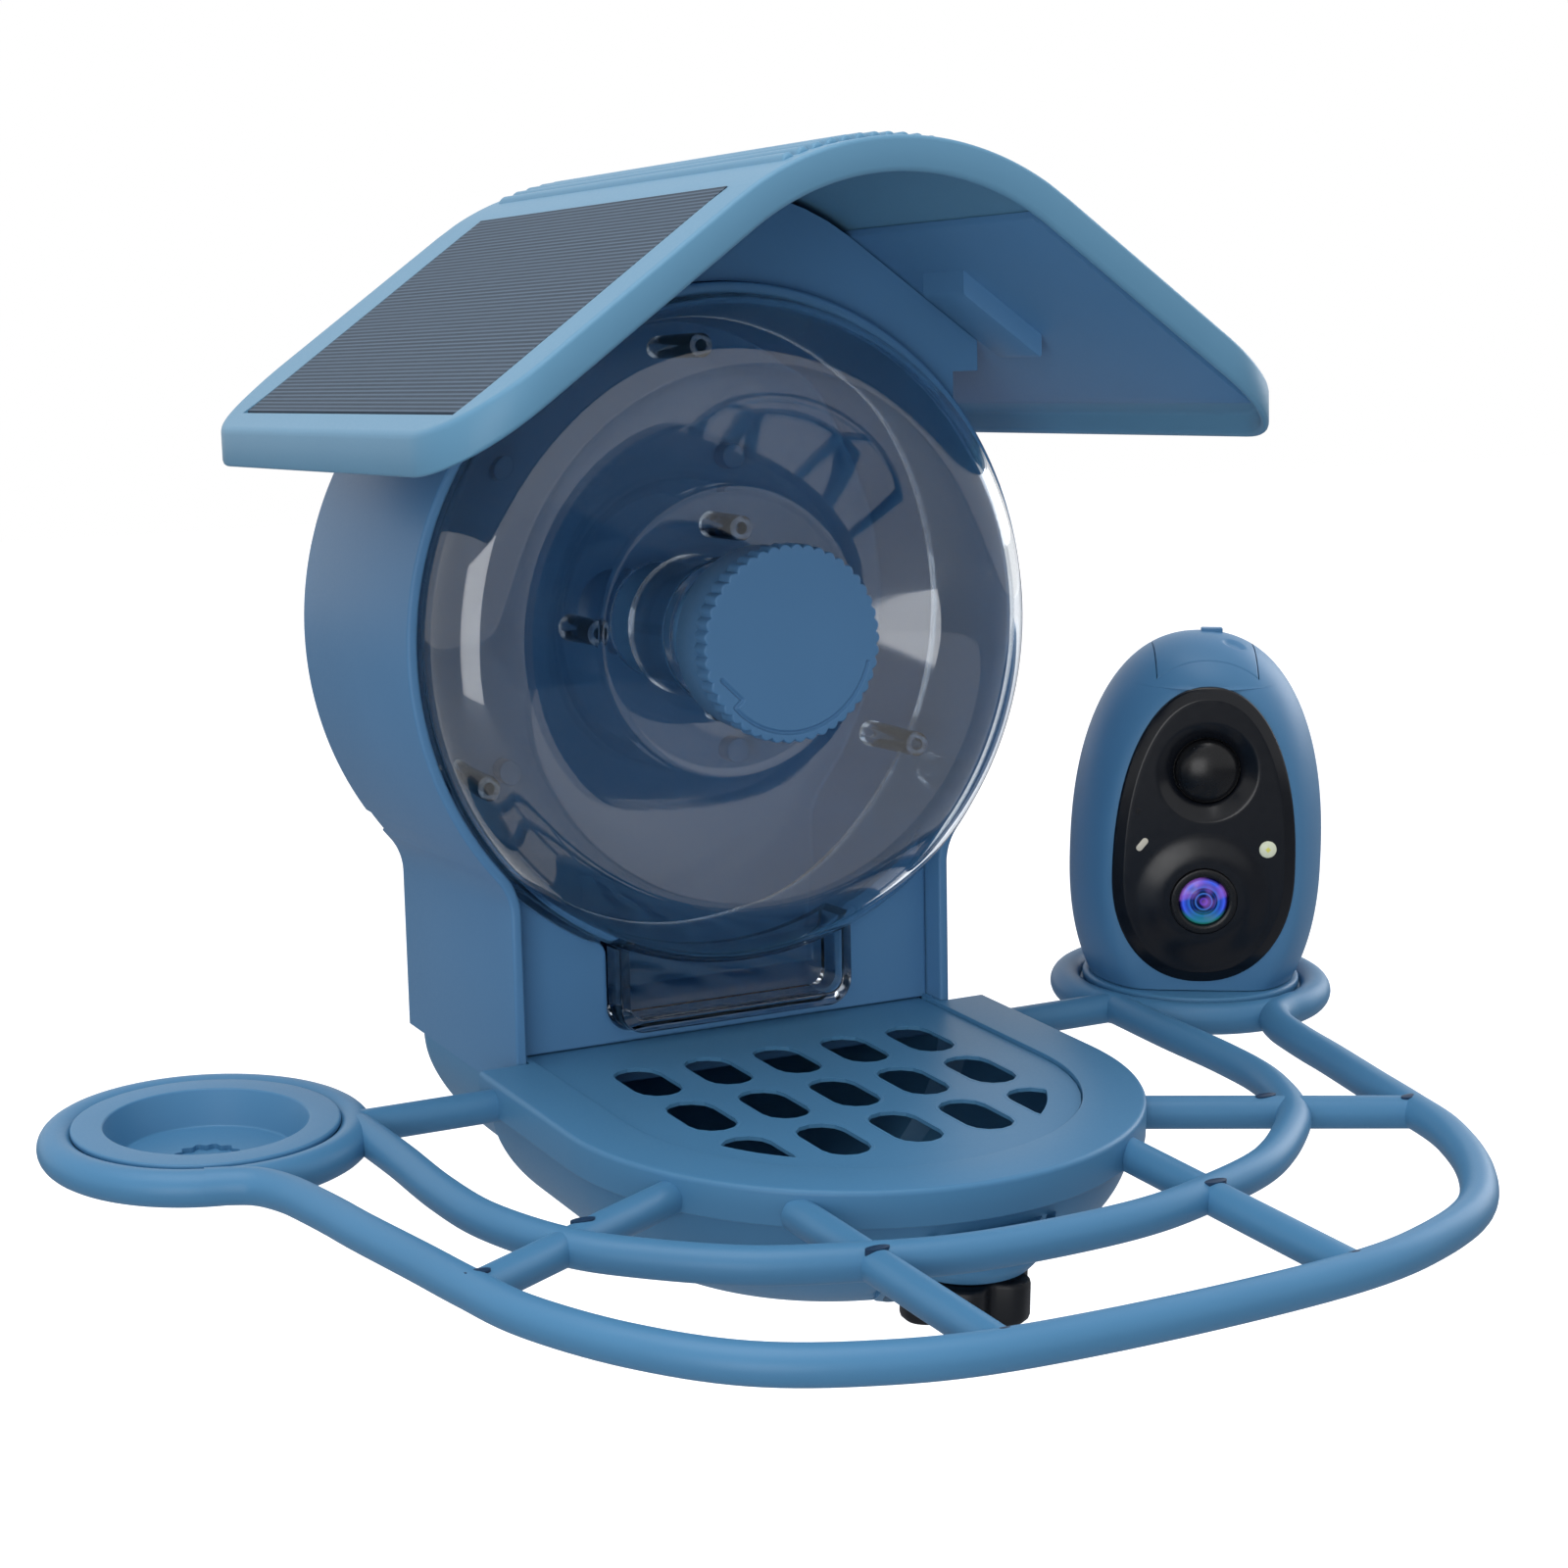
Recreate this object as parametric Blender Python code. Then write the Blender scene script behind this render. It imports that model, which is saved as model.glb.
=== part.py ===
"""Smart bird feeder: a clear drum hopper in a blue housing, a solar roof above it, and a tray
with a looped perch below that carries a seed cup on one side and an egg-shaped camera on the other.

Metres, +Z up, the front faces -Y. The origin is the centre of the mounting face at the back, on the
drum's axis. The tray, the perch and the camera are built in the deck's own frame, which slopes
down to the front, and the camera in a frame of its own that is turned on the deck.
"""
import math

import bmesh
import bpy
from mathutils import Vector

for thing in list(bpy.data.objects):
    bpy.data.objects.remove(thing, do_unlink=True)

# Clearances and cuts
gap = 0.0003
overrun = 0.004
edge_round = 0.0006
half_step = 0.5

# Drum and pedestal
drum_radius = 0.0900
drum_depth = 0.0770
drum_wall = 0.0028
back_wall = 0.0030
pedestal_half_width = 0.0648
pedestal_fillet = 0.0150
strap_notch_height = 0.0055
strap_notch_depth = 0.0030
strap_notch_drop = 0.0500
hub_post_radius = 0.0120
hub_post_length = 0.0300
panel_rib_width = 0.0040

# Mounting plate
plate_thickness = 0.0085
plate_half_width = 0.0430
plate_half_height = 0.0500
plate_corner = 0.0080
keyhole_head = 0.0045
keyhole_shank = 0.0024
keyhole_drop = 0.0100
keyhole_height = 0.0330
plate_screw_inset = 0.0075
screw_head_radius = 0.0032
screw_head_height = 0.0020
screw_shank_radius = 0.0014
screw_shank_length = 0.0070
screw_boss_radius = 0.0036
screw_boss_length = 0.0060

# Clear hopper
hopper_crest = 0.0158
hopper_skirt_depth = 0.0400
hopper_wall = 0.0022
hub_tube_radius = 0.0190
hub_tube_depth = 0.0240
recess_floor_radius = 0.0370
recess_top_radius = 0.0560
recess_top_rise = 0.0110
crest_radius = 0.0700
lid_thickness = 0.0022
post_radius = 0.0034
post_bore = 0.0016
post_length = 0.0255
outer_post_circle = 0.0740
inner_post_circle = 0.0290
inner_post_length = 0.0180
spout_half_width = 0.0345
spout_wall = 0.0028
spout_lip = 0.0036
spout_top = -0.0770
spout_bottom = -0.1035
spout_front = 0.0010
spout_depth = 0.0130
spout_corner = 0.0070

# Knob and lock spindle
knob_radius = 0.0251
knob_front = 0.0330
knob_grip_depth = 0.0062
knob_collar_depth = 0.0123
knob_collar_radius = 0.0238
knob_lobes = 46
knob_lobe_height = 0.0005
spindle_radius = 0.0155
spindle_wall = 0.0020
seal_thickness = 0.0012
seal_lip = 0.0050

# Front panel
panel_setback = 0.0072
panel_thickness = 0.0025
panel_clearance = 0.0012

# Roof
roof_level = 0.0900
roof_rise = 0.0313
roof_tilt = math.radians(1.1)
roof_crown_radius = 0.0750
roof_slope = math.radians(35.5)
roof_half_width = 0.1140
roof_front = 0.0920
roof_back = 0.0848
roof_skin = 0.0040
roof_skirt_wall = 0.0022
roof_skirt_drop = 0.0082
roof_flare_width = 0.0180
roof_flare_slope = math.radians(31.0)
roof_plan_corner = 0.0240
ridge_count = 13
ridge_pitch = 0.0038
ridge_height = 0.0009
ridge_margin = 0.0070
ridge_foot_share = 0.30
ridge_top_share = 0.22
solar_inner = 0.0390
solar_edge = 0.0077
solar_front = 0.0780
solar_back = 0.0650
solar_thickness = 0.0016
backing_thickness = 0.0015
backing_inner = 0.0400
backing_edge = 0.0100
backing_margin = 0.0100
hump_width = 0.0120
hump_height = 0.0050
hump_inner = 0.0600
hump_outer = 0.0880
hump_front = 0.0530
saddle_half_width = 0.0784
saddle_ear_bottom = 0.0671
saddle_foot_half_width = 0.0706
saddle_front = 0.0040
saddle_back = 0.0700

# Deck: the plane of the tray, the perch and the two rings
deck_drop = 0.1074
deck_pitch = math.radians(3.2)
tray_half_width = 0.0758
flange_rise = 0.0011
tray_centre = 0.0535
flange_depth = 0.0080
flange_skin = 0.0042
flange_wall = 0.0033
grille_half_width = 0.0597
grille_thickness = 0.0010
grille_ledge = 0.0030
flange_tongue_depth = 0.0012
grille_reach = 0.0125
slot_half_width = 0.0063
slot_length = 0.0240
slot_pitch_x = 0.0200
slot_pitch_y = 0.0298
slot_first_row = 0.0250
slot_margin = 0.0083

# Bowl under the tray, its boss and the clamp screw
bowl_depth = 0.0425
bowl_wall = 0.0026
bowl_centre = 0.0246
bowl_inset = 0.0035
bowl_exponent = 2.0
bowl_levels = 8
boss_radius = 0.0180
boss_setback = 0.1123
boss_bottom = 0.0287
boss_edge = 0.0028
insert_radius = 0.0055
insert_length = 0.0090
boss_top = 0.0120
well_radius = 0.0190
well_thickness = 0.0020
clamp_radius = 0.0167
clamp_height = 0.0070
clamp_lobes = 6
clamp_lobe_height = 0.0018
clamp_stud_radius = 0.0030
clamp_stud_length = 0.0080
washer_radius = 0.0130
washer_thickness = 0.0008

# Perch
tube_radius = 0.0045
tube_drop = 0.0051
ring_offset = 0.1467
ring_radius = 0.0358
ring_ledge_width = 0.0032
ring_ledge_height = 0.0026
outer_rail_reach = 0.2010
outer_rail_inset = 0.0047
inner_rail_reach = 0.1520
inner_rail_overlap = 0.0006
front_strut_offset = 0.0450
rear_strut_setback = 0.0098
front_strut_reach = 0.1995
side_strut_start = (0.0649, 0.0889)
side_strut_shares = (0.889, 0.5995)
inner_rail_radius = 0.0044
ring_tube_radius = 0.00445
strut_radius = 0.0042
strut_drop = 0.0002
tube_sides = 8
ring_steps = 26
ring_start = math.radians(2.0)
ledge_steps = 32
outer_rail_shares = ((0.0, 1.0), (0.31, 0.99), (0.50, 0.958), (0.66, 0.900), (0.78, 0.805),
                     (0.865, 0.690), (0.900, 0.590), (0.925, 0.500), (0.957, 0.385),
                     (0.987, 0.290), (1.033, 0.180))
inner_rail_shares = ((0.0, 1.0), (0.22, 0.990), (0.41, 0.953), (0.62, 0.890), (0.80, 0.785),
                     (0.900, 0.695), (0.975, 0.556), (0.998, 0.415), (1.0, 0.25), (1.009, 0.086))

# Seed cup and camera base, both seated in a ring
seat_drop = 0.0009
seat_flange_thickness = 0.0030
seat_body_radius = 0.0272
seat_depth = 0.0110
cup_opening_radius = 0.0247
cup_floor_radius = 0.0217
cup_floor_depth = 0.0079
socket_radius = 0.0072
socket_bore = 0.0038
socket_depth = 0.0020
socket_teeth = 12
socket_tooth_height = 0.0010
base_screw_head_radius = 0.0070
base_screw_head_height = 0.0030
base_screw_shank_radius = 0.0030
base_screw_shank_length = 0.0110

# Camera body
camera_turn = math.radians(-30.3)
egg_radius = 0.03565
egg_waist = 0.0340
egg_crown_height = 0.0645
egg_root_height = 0.0530
egg_exponent = 2.3
egg_wall = 0.0030
egg_rings = 10
egg_steps = 32
face_plane = 0.0244
face_thickness = 0.0040
face_half_width = 0.0255
face_waist = 0.0340
face_crown_height = 0.0527
face_root_height = 0.0315
face_exponent = 2.2
face_seal_thickness = 0.0012
face_seal_width = 0.0022
pir_height = 0.0630
pir_recess_radius = 0.0139
pir_dome_radius = 0.0090
pir_dome_bulge = 0.0038
pir_flange_thickness = 0.0012
pir_sensor_radius = 0.0045
lens_height = 0.0266
lens_ring_radius = 0.0092
lens_ring_height = 0.0012
lens_glass_radius = 0.0067
lens_glass_thickness = 0.0014
lens_barrel_wall = 0.0020
sensor_half_width = 0.0030
sensor_thickness = 0.0010
led_radius = 0.0022
led_offset = 0.0174
led_height = 0.0414
status_offset = 0.0175
status_height = 0.0424
status_half_width = 0.0006
status_half_length = 0.0017
status_tilt = math.radians(-38.0)
mic_offset = 0.0190
mic_height = 0.0520
mic_radius = 0.0016
mic_bore = 0.0004
board_thickness = 0.0016
board_setback = 0.0105
board_half_width = 0.0200
board_bottom = 0.0120
board_top = 0.0835
board_neck_half_width = 0.0110
board_neck_height = 0.0700
battery_radius = 0.0092
battery_length = 0.0560
battery_bottom = 0.0100
battery_setback = 0.0120
cradle_half_width = 0.0105
cradle_length = 0.0420
speaker_radius = 0.0085
speaker_thickness = 0.0040
speaker_setback = 0.0180

# Camera top: the flap over the charging port and the two buttons
flap_half_width = 0.0140
flap_front = 0.0170
flap_back = 0.0090
flap_thickness = 0.0014
flap_clearance = 0.0006
port_board_half_width = 0.0120
port_board_back = 0.0100
port_half_width = 0.0045
port_half_depth = 0.0017
port_setback = 0.0030
button_radius = 0.0022
button_offset = 0.0095
reset_radius = 0.0012
reset_offset = 0.0095
button_travel = 0.0006
switch_half_width = 0.0028
switch_height = 0.0030

# Derived places
rim_y = -(drum_depth + plate_thickness)
back_y = -plate_thickness
drum_bore = drum_radius - drum_wall
hopper_radius = drum_bore - gap
deck_slope = math.tan(deck_pitch)
seat_flange_radius = ring_radius - tube_radius - gap
roof_flare_start = roof_half_width - roof_flare_width
solar_outer = roof_half_width - solar_edge
backing_outer = roof_half_width - backing_edge
outer_rail_half_width = ring_offset - outer_rail_inset
inner_rail_half_width = ring_offset - ring_radius + inner_rail_overlap
side_strut_end = (outer_rail_half_width * side_strut_shares[0], outer_rail_reach * side_strut_shares[1])


def srgb(code):
    """Turn a hex sRGB colour into linear values."""
    parts = [int(code[i:i + 2], 16) / 255 for i in (0, 2, 4)]
    return [c / 12.92 if c <= 0.04045 else ((c + 0.055) / 1.055) ** 2.4 for c in parts]


def finish(name, colour, roughness, metallic=0.0, clear=0.0):
    """Make a Principled material with one colour, roughness and metallic value."""
    made = bpy.data.materials.new(name)
    made.use_nodes = True
    shader = made.node_tree.nodes["Principled BSDF"]
    shader.inputs["Base Color"].default_value = (*srgb(colour), 1)
    shader.inputs["Roughness"].default_value = roughness
    shader.inputs["Metallic"].default_value = metallic
    shader.inputs["Transmission Weight"].default_value = clear
    return made


def solid(name, points, faces, material=None, holder=None):
    """Make one closed mesh object with its faces outwards."""
    work = bmesh.new()
    corners = [work.verts.new(p) for p in points]
    for face in faces:
        work.faces.new([corners[i] for i in face])
    bmesh.ops.recalc_face_normals(work, faces=work.faces)
    mesh = bpy.data.meshes.new(name)
    work.to_mesh(mesh)
    work.free()
    made = bpy.data.objects.new(name, mesh)
    bpy.context.scene.collection.objects.link(made)
    if material:
        mesh.materials.append(material)
        mesh.shade_smooth()
        mesh.set_sharp_from_angle(angle=math.radians(35))
    if holder:
        made.parent = holder
    return made


def prism(name, outline, low, high, axis="Y", material=None, holder=None):
    """Run a flat outline from low to high along an axis. Low and high may be functions of a point."""
    def lift(point, along):
        along = along(point) if callable(along) else along
        u, v = point
        return {"X": (along, u, v), "Y": (u, along, v), "Z": (u, v, along)}[axis]
    count = len(outline)
    points = [lift(p, low) for p in outline] + [lift(p, high) for p in outline]
    sides = [(i, (i + 1) % count, count + (i + 1) % count, count + i) for i in range(count)]
    caps = [tuple(range(count)), tuple(range(count, 2 * count))]
    return solid(name, points, sides + caps, material, holder)


def turned(name, profile, steps, axis="Y", centre=(0, 0, 0), material=None, holder=None):
    """Turn a closed profile of (radius, along) points round an axis. Radius zero makes a pole."""
    points = []
    rings = []
    for radius, along in profile:
        start = len(points)
        turns = 1 if radius == 0 else steps
        for i in range(turns):
            angle = math.tau * (i + half_step) / steps
            u = radius * math.cos(angle)
            v = radius * math.sin(angle)
            spot = {"Y": (u, along, v), "Z": (u, v, along)}[axis]
            points.append(tuple(a + b for a, b in zip(spot, centre)))
        rings.append((start, turns))
    faces = []
    for (a, many_a), (b, many_b) in zip(rings, rings[1:] + rings[:1]):
        for i in range(steps):
            j = (i + 1) % steps
            corners = []
            for corner in (a + i % many_a, a + j % many_a, b + j % many_b, b + i % many_b):
                if corner not in corners:
                    corners.append(corner)
            if len(corners) > 2:
                faces.append(corners)
    return solid(name, points, faces, material, holder)


def rod(name, radius, low, high, steps, axis="Y", centre=(0, 0, 0), material=None, holder=None):
    """Make a plain cylinder along an axis."""
    profile = [(0, low), (radius, low), (radius, high), (0, high)]
    return turned(name, profile, steps, axis, centre, material, holder)


def block(name, low, high, material=None, holder=None):
    """Make a box from its lowest to its highest corner."""
    outline = [(low[0], low[2]), (high[0], low[2]), (high[0], high[2]), (low[0], high[2])]
    return prism(name, outline, low[1], high[1], "Y", material, holder)


def sweep(name, path, radius, sides, closed=False, material=None, holder=None):
    """Carry a round section along a path that lies level, with flat ends."""
    points = []
    count = len(path)
    for i, spot in enumerate(path):
        before = path[i - 1] if i or closed else spot
        after = path[(i + 1) % count] if i + 1 < count or closed else spot
        along = (Vector(after) - Vector(before)).normalized()
        across = Vector((along.y, -along.x, 0)).normalized()
        up = across.cross(along)
        for j in range(sides):
            angle = math.tau * (j + half_step) / sides
            points.append(Vector(spot) + radius * (math.cos(angle) * across + math.sin(angle) * up))
    faces = []
    for i in range(count if closed else count - 1):
        a = i * sides
        b = (i + 1) % count * sides
        for j in range(sides):
            k = (j + 1) % sides
            faces.append((a + j, a + k, b + k, b + j))
    if not closed:
        faces.append(tuple(range(sides)))
        faces.append(tuple(range((count - 1) * sides, count * sides)))
    return solid(name, points, faces, material, holder)


def combine(body, other, how):
    """Add a Boolean modifier and turn its operand into a hidden guide."""
    step = body.modifiers.new(other.name, "BOOLEAN")
    step.operation = how
    step.object = other
    step.solver = "EXACT"
    other.hide_render = True
    other.display_type = "WIRE"
    return body


def cut(body, *others):
    for other in others:
        combine(body, other, "DIFFERENCE")
    return body


def fuse(body, *others):
    for other in others:
        combine(body, other, "UNION")
    return body


def keep_inside(body, other):
    return combine(body, other, "INTERSECT")


def frame(name, location, turn=(0, 0, 0), holder=None):
    """Make an empty that carries pieces, at a joint or at the head of a sub-assembly."""
    empty = bpy.data.objects.new(name, None)
    bpy.context.scene.collection.objects.link(empty)
    empty.location = location
    empty.rotation_euler = turn
    if holder:
        empty.parent = holder
    return empty


def arc(centre, radius, start, end, steps):
    """Points along an arc, from one angle to another, both ends included."""
    spots = []
    for i in range(steps + 1):
        angle = start + (end - start) * i / steps
        spots.append((centre[0] + radius * math.cos(angle), centre[1] + radius * math.sin(angle)))
    return spots


def rounded_box(half_width, half_height, corner, steps=6, centre=(0, 0)):
    """A rectangle's outline with round corners."""
    spots = []
    for quarter, (side, level) in enumerate(((1, 1), (-1, 1), (-1, -1), (1, -1))):
        middle = (centre[0] + side * (half_width - corner), centre[1] + level * (half_height - corner))
        spots += arc(middle, corner, quarter * math.pi / 2, (quarter + 1) * math.pi / 2, steps)
    return spots


def spline(points, steps):
    """A smooth curve through points, a Catmull-Rom with steps pieces between each pair."""
    ends = [2 * Vector(points[0]) - Vector(points[1])]
    ends += [Vector(p) for p in points]
    ends.append(2 * Vector(points[-1]) - Vector(points[-2]))
    spots = []
    for a, b, c, d in zip(ends, ends[1:], ends[2:], ends[3:]):
        for i in range(steps):
            t = i / steps
            spots.append(((2 * b) + (c - a) * t + (2 * a - 5 * b + 4 * c - d) * t * t
                          + (3 * b - 3 * c + d - a) * t ** 3) / 2)
    spots.append(ends[-2])
    return spots


# Finishes
body_plastic = finish("satin_blue_plastic", "4F82A8", 0.42)
roof_plastic = finish("satin_roof_blue", "5E90B4", 0.42)
knob_plastic = finish("satin_knob_blue", "46709A", 0.42)
clear_plastic = finish("clear_smoke_plastic", "C9D2DA", 0.05, clear=0.9)
cell_glass = finish("solar_cell_glass", "4A5470", 0.30)
black_gloss = finish("gloss_black_plastic", "1B1E26", 0.12)
black_matte = finish("black_plastic", "10131A", 0.45)
black_rubber = finish("black_rubber", "17181B", 0.80)
board_green = finish("green_board", "1F5A3C", 0.50)
steel = finish("zinc_steel", "B9BDC2", 0.30, 1.0)
brass = finish("brass", "C2A05A", 0.30, 1.0)
lens_glass_look = finish("coated_glass", "2A2F5C", 0.05, clear=0.5)
lamp_white = finish("diffuser_white", "E9E6CF", 0.35)
battery_wrap = finish("battery_wrap", "3A6EA5", 0.40)


# Housing: the drum and its pedestal, one moulding open at the front

def housing_outline(inset, steps=52):
    """The drum's circle, run into the pedestal's straight sides by concave fillets."""
    radius = drum_radius - inset
    half = pedestal_half_width - inset
    fillet = pedestal_fillet + inset
    centre_x = half + fillet
    centre_z = -math.sqrt((radius + fillet) ** 2 - centre_x ** 2)
    lean = math.atan2(centre_z, centre_x)
    bottom = -deck_drop - flange_depth - gap + inset
    right = [(half, bottom)]
    right += arc((centre_x, centre_z), fillet, math.pi, math.pi + lean, 6)
    crown = arc((0, 0), radius, lean, math.pi - lean, steps)
    left = [(-x, z) for x, z in reversed(right)]
    return right + crown[1:-1] + left


def floor_follows_deck(along):
    """Height of the deck's underside above its height at the rim, at a place along Y."""
    return (along - rim_y) * deck_slope


def housing_prism(name, inset, low, high, material=None):
    """The housing's outline run along Y, with its floor sloping as the deck does."""
    made = prism(name, housing_outline(inset), low, high, "Y", material)
    level = min(v.co.z for v in made.data.vertices)
    for vertex in made.data.vertices:
        if vertex.co.z < level + edge_round:
            vertex.co.z += floor_follows_deck(vertex.co.y)
    return made


housing = housing_prism("drum_housing", 0, rim_y, back_y - gap, body_plastic)
cut(housing, housing_prism("housing_hollow", drum_wall, rim_y - overrun, back_y - gap - back_wall))
pedestal_back_y = back_y - gap
for side, label in ((-1, "left"), (1, "right")):
    low_x, high_x = sorted((side * pedestal_half_width, side * (drum_radius + overrun)))
    cut(housing, block(f"strap_notch_{label}",
                       (low_x, pedestal_back_y - strap_notch_depth, -strap_notch_drop - strap_notch_height),
                       (high_x, pedestal_back_y + overrun, -strap_notch_drop)))

hub_front_y = back_y - gap - back_wall - hub_post_length
fuse(housing, rod("hub_post", hub_post_radius, hub_front_y, back_y - gap - back_wall / 2, 32))
panel_y = rim_y + panel_setback
panel_half = pedestal_half_width - drum_wall - gap
panel_low = -deck_drop + deck_slope * (panel_setback + panel_thickness) + gap
panel_radius = hopper_radius + panel_clearance
rib_front_y = panel_y + panel_thickness + gap
for side, label in ((-1, "left"), (1, "right")):
    inner = panel_half - panel_rib_width
    outer = pedestal_half_width - drum_wall / 2
    rib = [(side * inner, panel_low), (side * outer, panel_low),
           (side * outer, -math.sqrt(panel_radius ** 2 - outer ** 2)),
           (side * inner, -math.sqrt(panel_radius ** 2 - inner ** 2))]
    fuse(housing, prism(f"panel_rib_{label}", rib, rib_front_y, rib_front_y + drum_wall))

# Mounting plate at the back, its keyholes and its four screws

plate_outline = rounded_box(plate_half_width, plate_half_height, plate_corner)
plate = prism("rear_mount_plate", plate_outline, back_y, 0, "Y", body_plastic)
for level in (1, -1):
    height = level * keyhole_height
    cut(plate,
        rod(f"keyhole_head_{level}", keyhole_head, back_y - overrun, overrun, 20, "Y", (0, 0, height)),
        block(f"keyhole_shank_{level}", (-keyhole_shank, back_y - overrun, height),
              (keyhole_shank, overrun, height + keyhole_drop)))

screw_x = plate_half_width - plate_screw_inset
screw_z = plate_half_height - plate_screw_inset
for index, (side, level) in enumerate(((-1, 1), (1, 1), (-1, -1), (1, -1)), 1):
    centre = (side * screw_x, 0, level * screw_z)
    head_y = -screw_head_height
    cut(plate,
        rod(f"screw_sink_{index}", screw_head_radius + gap, head_y - gap, overrun, 16, "Y", centre),
        rod(f"screw_hole_{index}", screw_shank_radius + gap, back_y - overrun, head_y, 12, "Y", centre))
    tip_y = back_y - screw_shank_length
    fuse(housing, rod(f"screw_boss_{index}", screw_boss_radius, back_y - gap - back_wall - screw_boss_length,
                      back_y - gap - back_wall / 2, 16, "Y", centre))
    cut(housing, rod(f"screw_pilot_{index}", screw_shank_radius + gap, tip_y - gap, overrun,
                     12, "Y", centre))
    head = [(0, tip_y), (screw_shank_radius, tip_y), (screw_shank_radius, head_y),
            (screw_head_radius, head_y), (screw_head_radius, -gap), (0, -gap)]
    turned(f"plate_screw_{index}", head, 12, "Y", centre, steel)


# Clear hopper: a ring-shaped dome with a funnel in its middle and a skirt that reaches into the drum

def dome_profile(inset):
    """Half section of the dome, from the skirt's edge over the crest into the recess.

    Each point is (radius, distance behind the rim). The outer edge and the crest are quarter
    ellipses, the recess is a straight cone and a flat floor.
    """
    skirt = hopper_radius - inset
    spots = []
    for i in range(6):
        angle = math.pi / 2 * i / 5
        spots.append((crest_radius + (skirt - crest_radius) * math.cos(angle),
                      -(hopper_crest - inset) * math.sin(angle)))
    inner = recess_top_radius + inset / 2
    for i in range(1, 3):
        angle = math.pi / 2 * i / 2
        spots.append((crest_radius - (crest_radius - inner) * math.sin(angle),
                      -(recess_top_rise - inset) - (hopper_crest - recess_top_rise) * math.cos(angle)))
    spots.append((recess_floor_radius + inset / 2, inset))
    return spots


outer_dome = [(r, rim_y + y) for r, y in dome_profile(0)]
inner_dome = [(r, rim_y + y) for r, y in dome_profile(hopper_wall)]
skirt_end_y = rim_y + hopper_skirt_depth
hub_end_y = rim_y + hub_tube_depth
cover_section = [(hopper_radius, skirt_end_y)]
cover_section += outer_dome
cover_section += [(hub_tube_radius - hopper_wall, rim_y), (hub_tube_radius - hopper_wall, hub_end_y),
                  (hub_tube_radius, hub_end_y), (hub_tube_radius, rim_y + hopper_wall)]
cover_section += list(reversed(inner_dome))
cover_section.append((hopper_radius - hopper_wall, skirt_end_y))
cover = turned("hopper_cover", cover_section, 36, "Y", material=clear_plastic)
seed_hole = block("seed_hole", (-spout_half_width + spout_wall, rim_y + spout_front, spout_bottom),
                  (spout_half_width - spout_wall, rim_y + spout_front + spout_depth - spout_wall,
                   spout_top + overrun * 2))
cut(cover, seed_hole)

# Hopper lid: the clear disc that closes the hopper at the back, with its hollow screw posts

lid_front_y = skirt_end_y + gap
lid_back_y = lid_front_y + lid_thickness
lid_section = [(spindle_radius + gap * 2, lid_front_y), (hopper_radius, lid_front_y),
               (hopper_radius, lid_back_y), (spindle_radius + gap * 2, lid_back_y)]
lid = turned("hopper_lid", lid_section, 36, "Y", material=clear_plastic)
post_spots = [(outer_post_circle, post_length, a) for a in (90, 210, 330)]
post_spots += [(inner_post_circle, inner_post_length, a) for a in (180, 60, 300)]
for index, (circle, length, degrees) in enumerate(post_spots, 1):
    angle = math.radians(degrees)
    centre = (circle * math.cos(angle), 0, circle * math.sin(angle))
    fuse(lid, rod(f"lid_post_{index}", post_radius, lid_front_y - length, lid_front_y + lid_thickness / 2,
                  8, "Y", centre))
    cut(lid, rod(f"lid_post_bore_{index}", post_bore, lid_front_y - length - overrun, lid_front_y,
                 8, "Y", centre))

# Seed spout: the clear box under the dome, open to the front above a lip that holds the seed back

spout_face_y = rim_y + spout_front
spout_back_y = spout_face_y + spout_depth


def spout_outline(inset, bottom):
    """A rectangle whose two lower corners are round."""
    half = spout_half_width - inset
    corner = spout_corner - inset
    spots = [(half, spout_top), (-half, spout_top)]
    spots += arc((-half + corner, bottom + corner), corner, math.pi, 1.5 * math.pi, 5)
    spots += arc((half - corner, bottom + corner), corner, 1.5 * math.pi, 2 * math.pi, 5)
    return spots


spout = prism("seed_spout", spout_outline(0, spout_bottom), spout_face_y, spout_back_y, "Y", clear_plastic)
hollow_outline = [(x, z + (overrun if z == spout_top else 0)) for x, z in
                  spout_outline(spout_wall, spout_bottom + spout_lip)]
cut(spout,
    prism("spout_hollow", hollow_outline, spout_face_y - overrun, spout_back_y - spout_wall),
    rod("spout_seat", hopper_radius + gap, spout_face_y - overrun, spout_back_y + overrun, 72))

# Front panel: closes the pedestal round the spout, below the drum

panel_edge = math.asin(panel_half / panel_radius)
panel_outline = [(-panel_half, panel_low), (panel_half, panel_low)]
panel_outline += arc((0, 0), panel_radius, -math.pi / 2 + panel_edge, -math.pi / 2 - panel_edge, 24)
front_panel = prism("front_panel", panel_outline, panel_y, panel_y + panel_thickness, "Y", body_plastic)
opening = spout_half_width + panel_clearance
cut(front_panel, prism("panel_opening",
                       [(opening, spout_bottom / 2), (-opening, spout_bottom / 2)]
                       + arc((-opening + spout_corner, spout_bottom - gap + spout_corner), spout_corner,
                             math.pi, 1.5 * math.pi, 5)
                       + arc((opening - spout_corner, spout_bottom - gap + spout_corner), spout_corner,
                             1.5 * math.pi, 2 * math.pi, 5),
                       panel_y - overrun, panel_y + panel_thickness + overrun))

# Knob, its seal and the lock spindle that runs through the hopper into the hub post

knob_y = rim_y - knob_front
knob_pivot = frame("knob_axis", (0, knob_y, 0))


def lobed_outline(radius, height, lobes, per_lobe):
    """A circle whose radius swells and sinks once for each lobe."""
    count = lobes * per_lobe
    spots = []
    for i in range(count):
        angle = math.tau * i / count
        reach = radius - height * (1 - math.cos(lobes * angle))
        spots.append((reach * math.cos(angle), reach * math.sin(angle)))
    return spots


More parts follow.
